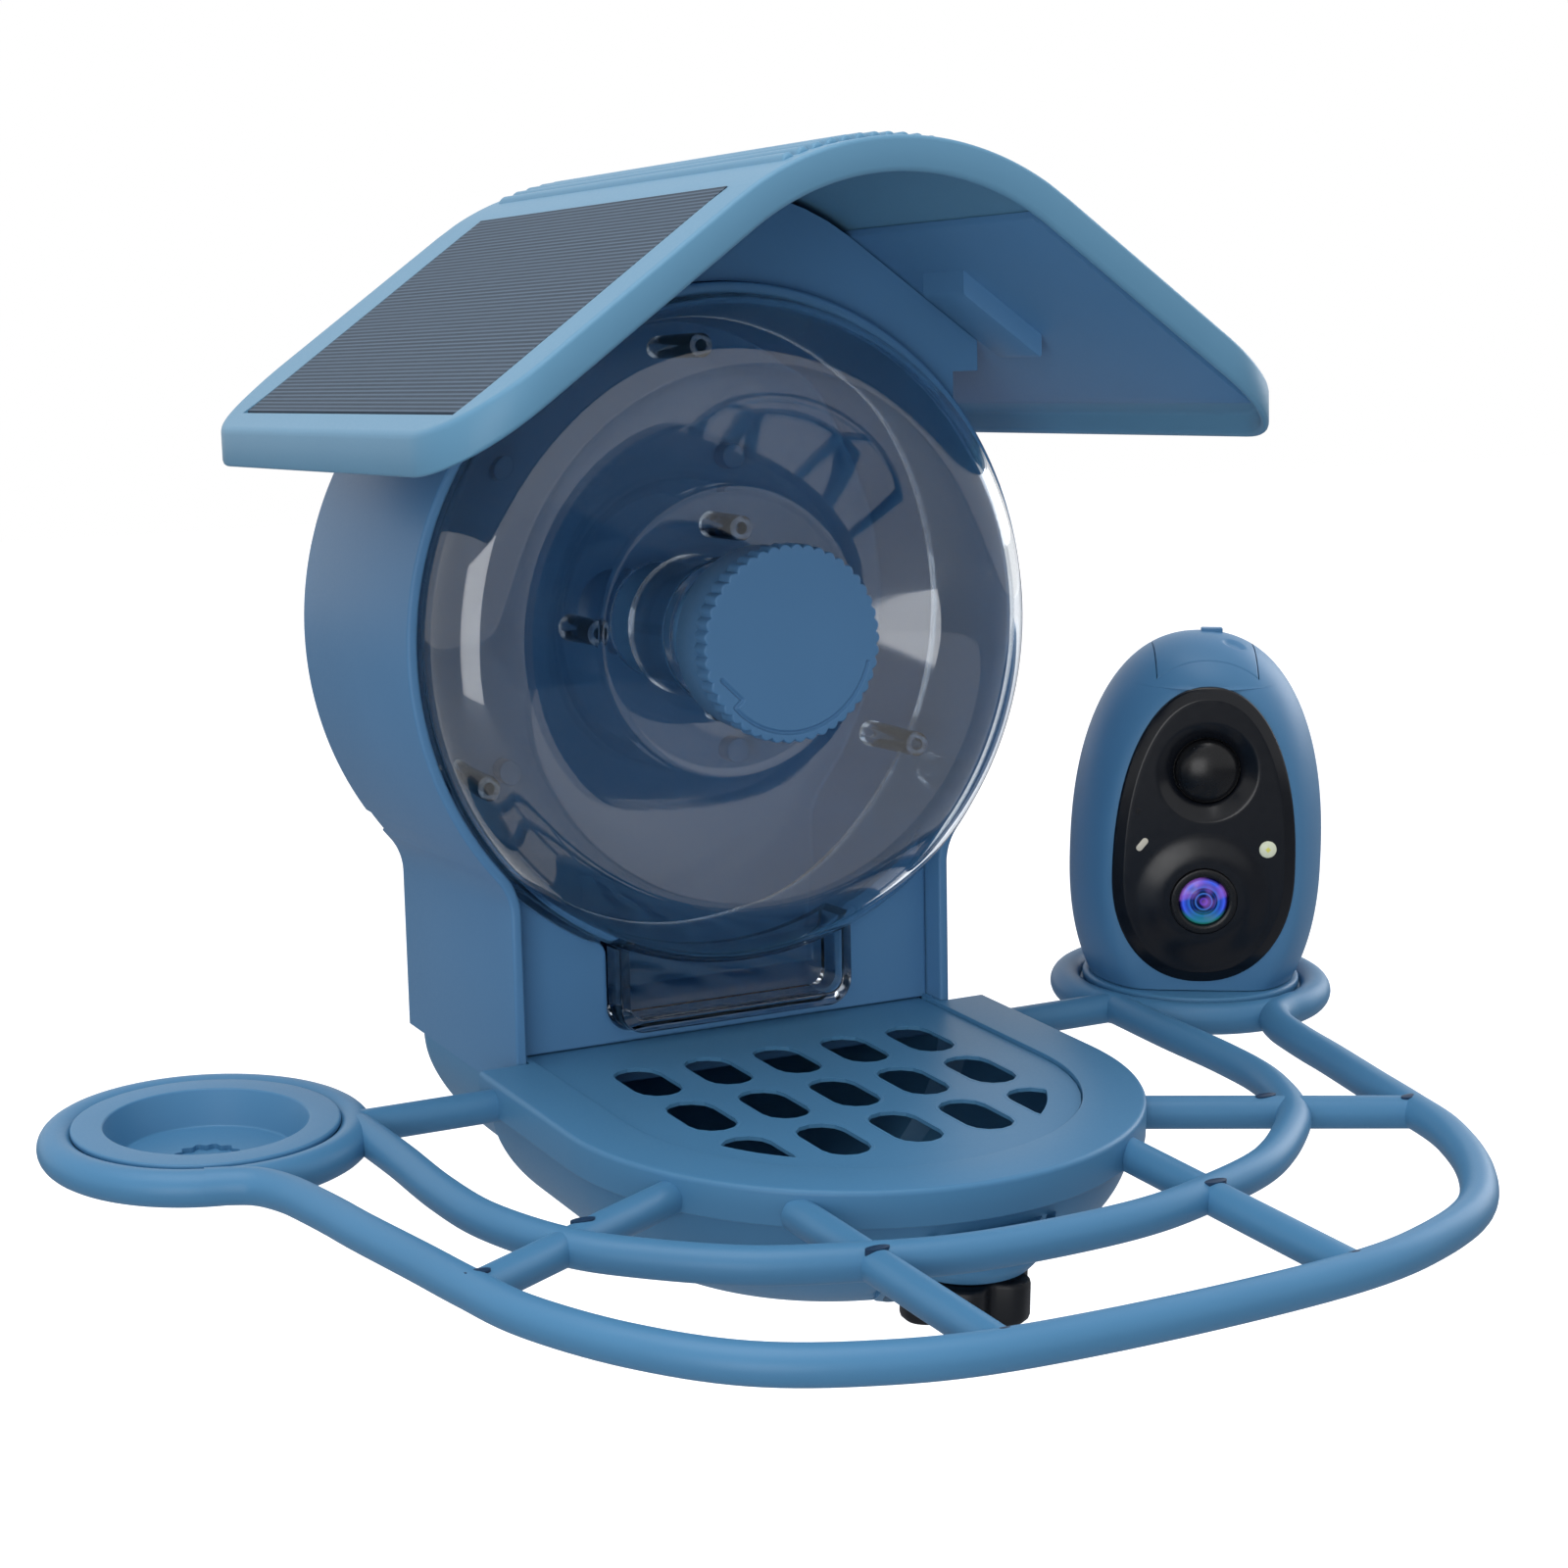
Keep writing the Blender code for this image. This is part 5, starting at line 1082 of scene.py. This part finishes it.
shares = np.sin(angles(0, math.pi / 2, 70))
outside = np.array([bowl_ring(0, share) for share in shares])
inside = np.array([bowl_ring(bowl_wall, share) for share in shares])
away = np.hypot(outside[..., 0], outside[..., 1] - boss_y)
opened = np.clip((well_radius + well_wall * 0.75 - away) / (well_wall * 0.5), 0, 1)
for skin, roof_z in ((outside, -boss_bottom + boss_edge), (inside, -boss_bottom + boss_edge + bowl_wall)):
    skin[..., 2] += opened * np.maximum(roof_z - skin[..., 2], 0)
boss_foot = -boss_bottom - gap
bush_top = -boss_bottom + insert_length + gap
boss_section = eased([(insert_radius + gap, bush_top), (insert_radius + gap, boss_foot),
                      (boss_radius - boss_edge, boss_foot), (boss_radius, -boss_bottom + boss_edge),
                      (boss_radius, -boss_top), (0, -boss_top), (0, bush_top)],
                     [0, 0.0005, 0.0012, 0.0012, 0, 0, 0])
turned_by = angles(0, math.tau, 96)[:-1]
well_middle = well_radius + well_wall / 2
well_low = bowl_level(well_middle * np.cos(turned_by), boss_y + well_middle * np.sin(turned_by)) - well_rim
well_low = np.minimum(well_low, -boss_top)
well_section = eased([(well_radius, 0), (well_radius, 1), (well_radius + well_wall, 1),
                      (well_radius + well_wall, 0)], [0, well_edge, well_edge, 0])
rows = [hoop(turned_by, radius, low * well_low - (1 - low) * boss_top, "Z") for radius, low in well_section]
piece("bowl_scoop", "feeder", base_blue_painted_shade,
      [loops(np.concatenate([outside[::-1], inside]), deck),
       lathe(boss_section, 72, "Z", (0, boss_y, 0), deck),
       loops(np.array(rows) + (0, boss_y, 0), deck, True)], ["base_bowl"])
# Turned brass: a warm yellow that mirrors softly. The plastics' fine grain stands for its tool marks.
brass = moulded_plastic("brass_turned", "C2A05A", "B59450", 0.8, 0.3)
brass.node_tree.nodes["Principled BSDF"].inputs["Metallic"].default_value = 1.0
bush = sleeve(insert_bore, insert_radius, 0, insert_length, fine_edge)
bush_frame = deck @ stand((0, boss_y, -boss_bottom))
piece("brass_bush", "feeder", brass, [lathe(bush, 48, "Z", at=bush_frame)], ["threaded_insert"])

# Thumb screw and washer
# A black star knob with six deep lobes and rounded edges on a steel-cored stud, under a flat washer
# moulded in the base's blue.
clamp_radius = 0.0167
clamp_height = 0.0112
clamp_lobes = 6
clamp_sink = 0.0022
clamp_cleft = 1.6
stud_radius = 0.0030
stud_top = 0.0080
washer_radius = 0.0130
washer_thickness = 0.0008
clamp_frame = deck @ stand((0, boss_y, boss_foot))
washer = sleeve(insert_bore, washer_radius, -washer_thickness, 0, fine_edge)
piece("washer_ring", "washer", base_blue_painted_shade, [lathe(washer, 72, "Z", at=clamp_frame)], ["thumb_washer"])
clamp_top = -washer_thickness - gap
turned_by = np.arange(240) * math.tau / 240
lobe = -2 * clamp_sink / clamp_radius * (0.5 - 0.5 * np.cos(clamp_lobes * turned_by)) ** clamp_cleft
rows = []
for share, z, weight in ((0, 0, 0), (0.4, 0, 0), (0.62, 0, 0.3), (0.86, 0, 1), (0.94, -0.0002, 1),
                         (0.985, -0.0007, 1), (1, -0.0016, 1), (1, -clamp_height + 0.0022, 1),
                         (0.98, -clamp_height + 0.0012, 1), (0.93, -clamp_height + 0.0004, 1),
                         (0.86, -clamp_height, 1), (0.6, -clamp_height, 0.4), (0.3, -clamp_height, 0),
                         (0, -clamp_height, 0)):
    rows.append(hoop(turned_by, clamp_radius * share * (1 + weight * lobe), clamp_top + z, "Z"))
stud = sleeve(0, stud_radius, clamp_top - gap, stud_top, [0, 0, 0.0006, 0])
# Black ABS with the same grain: a soft grey sheen on black.
black = moulded_plastic("abs_black", "15181E", "0E1116", 0.8, 0.4)
piece("star_knob", "thumb", black, [loops(rows, clamp_frame), lathe(stud, 32, "Z", at=clamp_frame)],
      ["thumb_screw"], 40.0)

# Seed cup
# A shallow dish whose flange rests in the left ring. A socket with twelve teeth stands in its floor.
# It is moulded in the base's blue and lifts out.
seat_body_radius = 0.0272
seat_depth = 0.0110
seat_radius_outer = ring_radius - tube_radius - gap
rim_radius = 0.0323
rim_lip = 0.0020
cup_opening = 0.0247
cup_floor_radius = 0.0212
cup_floor_depth = 0.0088
socket_radius = 0.0082
socket_margin = 0.0012
socket_teeth = 12
tooth_height = 0.0012
socket_depth = 0.0020
cup_frame = deck @ stand((-ring_offset, 0, 0))
cup_floor = -seat_drop - cup_floor_depth
seat_low = -seat_drop - seat_flange
seat_corners = [(0, -seat_depth), (seat_body_radius, -seat_depth), (seat_body_radius, seat_low),
                (seat_radius_outer, seat_low)]
cup_section = eased(seat_corners + [(seat_radius_outer, -seat_drop - rim_lip),
                                    (rim_radius, -seat_drop - rim_lip * 0.7), (rim_radius, -seat_drop),
                                    (cup_opening, -seat_drop), (cup_floor_radius, cup_floor),
                                    (socket_radius + socket_margin, cup_floor)],
                    [0, 0.0012, 0.0004, 0.0003, 0.0003, 0.0004, 0.0008, 0.0005, 0.0006, 0], 5, False)
turned_by = np.arange(socket_teeth * 16) * math.tau / (socket_teeth * 16)
tooth = 1 - tooth_height / socket_radius * (0.5 - 0.5 * np.cos(socket_teeth * turned_by))
rows = [hoop(turned_by, radius, z, "Z") for radius, z in cup_section]
for share, z in ((1.0, 0), (0.985, -0.0002), (0.98, -socket_depth + 0.0002), (0.95, -socket_depth),
                 (0.40, -socket_depth), (0.36, -0.0004), (0.30, -0.0002), (0, -0.0002)):
    rows.append(hoop(turned_by, socket_radius * share * (tooth if share > 0.9 else 1), cup_floor + z, "Z"))
piece("seed_dish", "cup", base_blue_painted_shade, [loops(rows, cup_frame)], ["seed_cup"])

# Camera base
# The same seat, closed on top, stands in the right ring. The camera's foot stands on it and turns about
# a screw from below.
seat_frame = deck @ stand((ring_offset, 0, 0))
base_section = eased(seat_corners + [(seat_radius_outer, -seat_drop), (0, -seat_drop)],
                     [0, 0.0012, 0.0004, 0.0010, 0.0012, 0])
piece("camera_foot_dish", "camera_foot", base_blue_painted_shade, [lathe(base_section, 120, "Z", at=seat_frame)],
      ["camera_base"])

# Camera shell
# An egg of blue ABS with a flat front for the face and a shallow recess in its crown for the flap.
# Level by level the egg is a superellipse of height, and each level is a circle that the front plane
# cuts off.
camera_turned = math.radians(-30.3)
camera_frame = seat_frame @ stand((0, 0, -seat_drop + gap), 0, camera_turned)
egg_radius = 0.03565
egg_waist = 0.0340
egg_crown = 0.0645
egg_root = 0.0530
egg_exponent = 2.3
foot_share = 0.96
neck_share = 0.12
shell_front = -0.0238
seat_sink = 0.0100
seat_margin = 0.0020
seat_inset = 0.0008
seat_slope = 0.0012
front_blend = 0.0022
face_half = 0.0255
face_crown = 0.0527
face_root = 0.0315
face_exponent = 2.2
flap_half_width = 0.0140
flap_front = -0.0170
flap_back = 0.0090
flap_thickness = 0.0014
flap_clearance = 0.00025
recess_depth = 0.0021


def egg_reach(height):
    """Radius of the egg at a height above its foot."""
    share = np.where(height > egg_waist, (height - egg_waist) / egg_crown, (egg_waist - height) / egg_root)
    return egg_radius * (1 - np.minimum(share, 1) ** egg_exponent) ** (1 / egg_exponent)


def egg_height(reach):
    """Height of the egg's upper skin at a distance from its axis."""
    return egg_waist + egg_crown * (1 - (reach / egg_radius) ** egg_exponent) ** (1 / egg_exponent)


def face_half_at(height):
    """Half width of the face's outline at a height: a superellipse, taller above its waist."""
    share = np.where(height > egg_waist, (height - egg_waist) / face_crown, (egg_waist - height) / face_root)
    return face_half * (1 - np.minimum(share, 1) ** face_exponent) ** (1 / face_exponent)


def soft_front(y):
    """The egg's depth y, pressed into the front plane with a rounded shoulder.

    The shoulder is a soft minimum of the two, (a + b - root of ((a-b)^2 + soft^2)) / 2.
    """
    soft = front_blend * np.clip(y / shell_front, 0, 1) ** 2
    pressed = (y + shell_front + np.sqrt((y - shell_front) ** 2 + soft ** 2)) / 2
    return np.where(y < 0, pressed, y)


recess_right = flap_half_width + flap_clearance
recess_back = flap_back + flap_clearance
recess_front = flap_front - flap_clearance
recess_corners = [math.atan2(y, side * recess_right)
                  for side in (-1, 1) for y in (recess_front, recess_back)]
shell_turns = np.unique(np.concatenate([angles(-math.pi, math.pi, 180)[:-1], recess_corners]))


def level_ring(height):
    """One level of the egg: a circle, cut by the front plane, with the face's seat sunk in the cut."""
    reach = float(egg_reach(height))
    x = reach * np.cos(shell_turns)
    y = reach * np.sin(shell_turns)
    if reach > -shell_front:
        cut_turn = math.acos(-shell_front / reach)
        chord = np.abs(shell_turns + math.pi / 2) < cut_turn
        half = reach * math.sin(cut_turn)
        x = np.where(chord, half * (shell_turns + math.pi / 2) / cut_turn, x)
        shifted = height + (seat_margin if height > egg_waist else -seat_margin)
        seat = np.clip((face_half_at(shifted) - seat_inset - np.abs(x)) / seat_slope, 0, 1)
        y = soft_front(np.where(chord, -np.sqrt(np.maximum(reach ** 2 - x ** 2, 0)), y))
        y = np.where(chord & (seat > 0), y + seat * (shell_front + seat_sink - y), y)
    return xyz(x, y, height)


neck = float(egg_height(-shell_front))
levels = np.unique(np.concatenate([np.linspace(0, neck, 64),
                                   neck - (neck - egg_waist) * neck_share * np.linspace(0, 1, 9) ** 2]))
rows = [level_ring(levels[0]) * (share, share, 1) for share in (0, foot_share)]
rows += [level_ring(height) for height in levels]
across = np.stack([np.cos(shell_turns), np.sin(shell_turns)], -1)
recess_depthwise = np.where(across[:, 1] > 0, recess_back, -recess_front)
bounds = np.minimum(recess_right / np.maximum(np.abs(across[:, 0]), weld),
                    recess_depthwise / np.maximum(np.abs(across[:, 1]), weld))
for share in np.linspace(0, 1, 13)[1:]:
    reach = -shell_front + (bounds - -shell_front) * share
    rows.append(xyz(reach * across[:, 0], soft_front(reach * across[:, 1]), egg_height(reach)))
for share in (1.0, 0.85, 0.6, 0.35, 0.15, 0.0):
    reach = bounds * share
    rows.append(xyz(reach * across[:, 0], reach * across[:, 1], egg_height(reach) - recess_depth))
camera_blue = moulded_plastic("camera_abs_blue", "4F80A8", "4A7AA2")
piece("camera_egg", "camera", camera_blue, [loops(rows, camera_frame)], ["camera_shell"], 28.0)

# Flap
# A piece of the egg's skin over the charging port, hinged along its back edge. It has a small raised
# tab in front of the hinge and an oval dimple for a fingertip.
flap_edge = 0.0003
tab_middle = 0.0028
tab_half = 0.0030
tab_front = 0.0005
tab_back = 0.0035
tab_rise = 0.0008
tab_sink = 0.0009
tab_corner = 0.0006
dimple_place = (0.0080, -0.0082)
dimple_half = (0.0029, 0.0021)
dimple_depth = 0.0009
flap_x = np.unique(np.concatenate([[-flap_half_width, -flap_half_width + flap_edge],
                                   np.linspace(-flap_half_width, flap_half_width, 57),
                                   [flap_half_width - flap_edge, flap_half_width]]))
flap_y = np.unique(np.concatenate([[flap_front + flap_edge, flap_back - flap_edge],
                                   np.linspace(flap_front, flap_back, 53)]))


def flap_sheet(drop, inset):
    """The egg's skin over the flap's plan, drawn in by inset and sunk by drop; the top one is dimpled."""
    x, y = np.meshgrid(np.clip(flap_x, -flap_half_width + inset, flap_half_width - inset),
                       np.clip(flap_y, flap_front + inset, flap_back - inset), indexing="ij")
    dimple = np.exp(-(((x - dimple_place[0]) / dimple_half[0]) ** 2
                      + ((y - dimple_place[1]) / dimple_half[1]) ** 2) ** 4)
    z = egg_height(np.hypot(x, y)) - drop - (dimple_depth * dimple if drop == 0 else 0)
    return np.stack([x, soft_front(y), z], -1)


layers = [flap_sheet(0, flap_edge), flap_sheet(flap_edge / 3, flap_edge / 3), flap_sheet(flap_edge, 0),
          flap_sheet(flap_thickness, 0)]
tab_top = float(egg_height(0.0)) + tab_rise
tab_plan = eased([(tab_middle - tab_half, tab_front), (tab_middle + tab_half, tab_front),
                  (tab_middle + tab_half, tab_back), (tab_middle - tab_half, tab_back)], tab_corner)
tab = [xyz((tab_plan[:, 0] - tab_middle) * share + tab_middle, tab_plan[:, 1], z) for share, z in
       ((1, tab_top - tab_rise - tab_sink), (1, tab_top - flap_edge), (0.97, tab_top), (0, tab_top))]
piece("flap_skin", "flap", camera_blue, plate(layers, camera_frame) + [loops(tab, camera_frame)],
      ["port_flap"])

# Camera face
# A gloss black face with a bevelled rim. A dished recess round the motion sensor is sunk in it, and a
# soft mound swells up round the lens.
face_plane = -0.0254
face_bevel = 0.0031
face_bevel_depth = 0.0016
face_land = 0.0012
face_thickness = 0.0040
face_back = face_plane + face_thickness
pir_height = 0.0630
pir_recess_radius = 0.0139
pir_dome_radius = 0.0090
pir_bulge = 0.0046
pir_seat = face_back - 0.0012
lens_height = 0.0266
lens_glass_radius = 0.0067
lens_ring_radius = 0.0092
mound_radius = 0.0195
mound_top_radius = 0.0110
mound_height = 0.0010
mound_depth = 0.0010


def face_ring(y, inset, turned_by):
    """The egg-shaped outline, a superellipse whose upper half is taller, seen from the sensor's middle."""
    around = angles(0, math.tau, 720)[:-1]
    u = np.sign(np.cos(around)) * np.abs(np.cos(around)) ** (2 / face_exponent) * (face_half - inset)
    v = np.sign(np.sin(around)) * np.abs(np.sin(around)) ** (2 / face_exponent)
    v = egg_waist + v * (np.where(v > 0, face_crown, face_root) - inset) - pir_height
    order = np.argsort(np.arctan2(v, u))
    reach = np.interp(turned_by, np.arctan2(v, u)[order], np.hypot(u, v)[order], period=math.tau)
    return hoop(turned_by, reach, y) + (0, 0, pir_height)


def bulged(radius, rim, bulge, back, steps):
    """Half section of a round cap: a quarter ellipse from its crest to its rim, and a flat back."""
    turned_by = angles(0, math.pi / 2, steps)
    crown = np.stack([radius * np.sin(turned_by), rim - bulge * np.cos(turned_by)], -1)
    return np.concatenate([crown, [(radius, back), (0, back)]])


turned_by = angles(0, math.tau, 240)[:-1]
rows = [face_ring(y, inset, turned_by) for y, inset in
        eased([(face_back, 0.0), (face_plane + face_bevel_depth, 0.0), (face_plane, face_bevel),
               (face_plane, face_bevel + face_land)], [0, 0.0006, 0.0003, 0], 4, False)]
rows += [hoop(turned_by, radius, y) + (0, 0, pir_height) for radius, y in
         eased([(pir_recess_radius + 0.0010, face_plane), (pir_recess_radius, face_plane),
                (pir_dome_radius + gap, pir_seat), (pir_dome_radius + gap, face_back)],
               [0, 0.0008, 0.0004, 0], 5, False)]
mound_foot = face_plane - weld * 5
mound_turns = angles(0, math.pi, 14)
mound = np.stack([mound_radius - (mound_radius - mound_top_radius) * mound_turns / math.pi,
                  mound_foot - mound_height * (1 - np.cos(mound_turns)) / 2], -1)
mound = np.concatenate([mound, [(lens_ring_radius + gap, face_plane - mound_height),
                                (lens_ring_radius + gap, face_plane + mound_depth),
                                (mound_radius, face_plane + mound_depth)]])
# Polished black acrylic: a dark mirror with soft-edged reflections and no grain.
gloss = moulded_plastic("acrylic_gloss_black", "11141B", "0F1218", 3.0, 0.22, 0.0)
lens_centre = (0, 0, lens_height)
piece("face_plate", "camera", gloss,
      [loops(rows, camera_frame), lathe(mound, 120, "Y", lens_centre, camera_frame)], ["camera_face"], 30.0)
# Black infrared-clear polyethylene: smooth, a little duller than the face round it.
dome_black = moulded_plastic("sensor_dome_black", "131417", "101114", 2.0, 0.28, 0.0)
dome = bulged(pir_dome_radius, pir_seat, pir_bulge, face_back, 14)
piece("sensor_dome", "camera", dome_black, [lathe(dome, 96, "Y", (0, 0, pir_height), camera_frame)],
      ["pir_dome"])
dress(rubber, "face_seal", "mic_grommet", "power_button", "reset_button")

# Lens
# A dark ring in the mound and a front glass. The violet, blue and green rings that its coating reflects and
# the stepped dark baffles behind it are painted into its colour, and the glass has a painted glow.
ring_front = face_plane - 0.0018
glass_front = ring_front + 0.0012
glass_bulge = 0.0009
glass_back = glass_front + 0.0014
patch_width = 0.006


def painted_lens_glass(name, centre):
    """Front glass with the reflections of an interference coating painted in, as rings of colour that change
    with distance.

    The eye sees a violet middle, blue rings, a teal cast painted lower down and dark baffle edges between
    them, and the colours glow as painted light.
    """
    # The emission is a painted glow: the glass is no lamp.
    made, tree, shader, place = fresh_material(name, {"Emission Strength": 0.45, "Roughness": 0.06,
                                                      "Specular IOR Level": 0.25})
    away = node(tree, "ShaderNodeVectorMath", {"operation": "DISTANCE", 1: centre}, {0: place})
    share = node(tree, "ShaderNodeMath", {"operation": "DIVIDE", 1: lens_glass_radius},
                 {0: away.outputs["Value"]})
    bands = node(tree, "ShaderNodeValToRGB", None, {"Fac": share.outputs[0]})
    stops = ((0.00, "C070F0"), (0.10, "8A3AD8"), (0.14, "0A0B20"), (0.19, "5030B0"), (0.24, "080A1C"),
             (0.32, "10205A"), (0.37, "3C70C8"), (0.41, "060A20"), (0.52, "14327E"), (0.56, "050818"),
             (0.61, "2A62C0"), (0.72, "2440A0"), (0.86, "3A5AE0"), (0.94, "20207A"), (1.0, "04050B"))
    ramp = bands.color_ramp
    for place_at, code in stops[1:-1]:
        ramp.elements.new(place_at).color = srgb(code)
    ramp.elements[0].color = srgb(stops[0][1])
    ramp.elements[-1].color = srgb(stops[-1][1])
    patches = node(tree, "ShaderNodeTexNoise", {"Scale": 1 / patch_width, "Detail": 1.0}, {"Vector": place})
    lean = node(tree, "ShaderNodeMapRange", {1: 0.48, 2: 0.60, 3: 0.0, 4: 0.60}, {0: patches.outputs["Fac"]})
    violet = node(tree, "ShaderNodeMix", {"data_type": "RGBA", 7: srgb("8E5AC0")},
                  {0: lean.outputs[0], 6: bands.outputs["Color"]})
    parted = node(tree, "ShaderNodeSeparateXYZ", None, {0: place})
    # Lower down the rings turn teal: a painted reflection.
    below = node(tree, "ShaderNodeMapRange", {1: centre[2] - 0.0022, 2: centre[2] - 0.0052, 3: 0.0, 4: 0.75},
                 {0: parted.outputs["Z"]})
    tinted = node(tree, "ShaderNodeMix", {"data_type": "RGBA", 7: srgb("1E7C6C")},
                  {0: below.outputs[0], 6: violet.outputs[2]})
    feed(shader, {"Base Color": tinted.outputs[2], "Emission Color": tinted.outputs[2]})
    return made


bezel = eased([(lens_glass_radius, glass_front), (lens_glass_radius + 0.0004, ring_front + 0.0002),
               (lens_glass_radius + 0.0009, ring_front), (lens_ring_radius, ring_front),
               (lens_ring_radius, face_plane + 0.0005), (lens_glass_radius, face_plane + 0.0005)],
              [0, 0, 0.0003, 0.0005, 0, 0])
piece("lens_ring", "camera", dome_black, [lathe(bezel, 96, "Y", lens_centre, camera_frame)], ["lens_bezel"])
glass_middle = put(np.array([0, glass_front, lens_height]), camera_frame)
lens_painted_reflection = painted_lens_glass("lens_glass_painted_reflection", tuple(glass_middle.tolist()))
front_glass = bulged(lens_glass_radius, glass_front, glass_bulge, glass_back, 10)
piece("front_glass", "camera", lens_painted_reflection, [lathe(front_glass, 96, "Y", lens_centre, camera_frame)],
      ["lens_glass"])
dress(black, "lens_barrel", "battery_cradle", "speaker", "power_switch", "reset_switch", "image_sensor")

# Lights and microphone
# A round white lamp with a yellow chip in its middle, a small slanting status light and a pin hole for
# the microphone, all let into the face.
led_place = (0.0174, 0, 0.0414)
led_radius = 0.0024
led_bulge = 0.0006
chip_radius = 0.0009
lamp_depth = 0.0010
status_place = (-0.0175, 0.0424)
status_half = (0.0009, 0.0021)
status_tilt = math.radians(-38)
status_rise = 0.0003
mic_place = (-0.0190, 0, 0.0520)


def painted_glow_cap(name, glow, deep, strength):
    """A diffusing moulded cap with a painted glow: a faint even emission of its own colour, though the lamp
    is not lit.
    """
    made = moulded_plastic(name, glow, deep, 0.6, 0.25, 0.0)
    shader = made.node_tree.nodes["Principled BSDF"]
    shader.inputs["Emission Color"].default_value = srgb(glow)
    shader.inputs["Emission Strength"].default_value = strength
    return made


cap = bulged(led_radius, face_plane, led_bulge, face_plane + lamp_depth, 8)
piece("lamp_cap", "camera", painted_glow_cap("lamp_cap_white_painted_glow", "DCE0CC", "CDD2B4", 0.12),
      [lathe(cap, 48, "Y", led_place, camera_frame)], ["led_lens"])
chip = eased([(0, face_plane - led_bulge - 0.00004), (chip_radius, face_plane - led_bulge),
              (chip_radius, face_plane), (0, face_plane)], [0, 0.0002, 0, 0])
piece("lamp_chip", "camera", painted_glow_cap("phosphor_yellow_painted_glow", "D9D77A", "CFCB60", 0.15),
      [lathe(chip, 4, "Y", led_place, camera_frame)])
slot_end = status_half[1] - status_half[0]
slot = np.concatenate([arc((0, slot_end), status_half[0], 0, math.pi, 12),
                       arc((0, -slot_end), status_half[0], math.pi, math.tau, 12)])
slot = slot @ np.array([[math.cos(status_tilt), math.sin(status_tilt)],
                        [-math.sin(status_tilt), math.cos(status_tilt)]])
rows = [xyz(status_place[0] + slot[:, 0] * share, face_plane + y, status_place[1] + slot[:, 1] * share)
        for share, y in ((0, -status_rise), (0.7, -status_rise), (1, -status_rise / 3), (1, lamp_depth),
                         (0, lamp_depth))]
piece("status_window", "camera", painted_glow_cap("status_white_painted_glow", "C9C4B6", "BDB8A8", 0.10),
      [loops(rows, camera_frame)], ["status_light"])
hole = [(0, face_plane - 0.00005), (0.0006, face_plane - 0.00008), (0.0008, face_plane),
        (0, face_plane + 0.0005)]
piece("microphone_hole", "camera", rubber, [lathe(hole, 24, "Y", mic_place, camera_frame)])

# Camera inside
# Circuit boards under green solder resist and a battery in a blue shrink sleeve, seen only when the
# camera is taken apart.
dress(moulded_plastic("circuit_board_green", "1F5A3C", "18472F"), "main_board", "port_board")
dress(moulded_plastic("cell_sleeve_blue", "3A6EA5", "336395"), "battery")
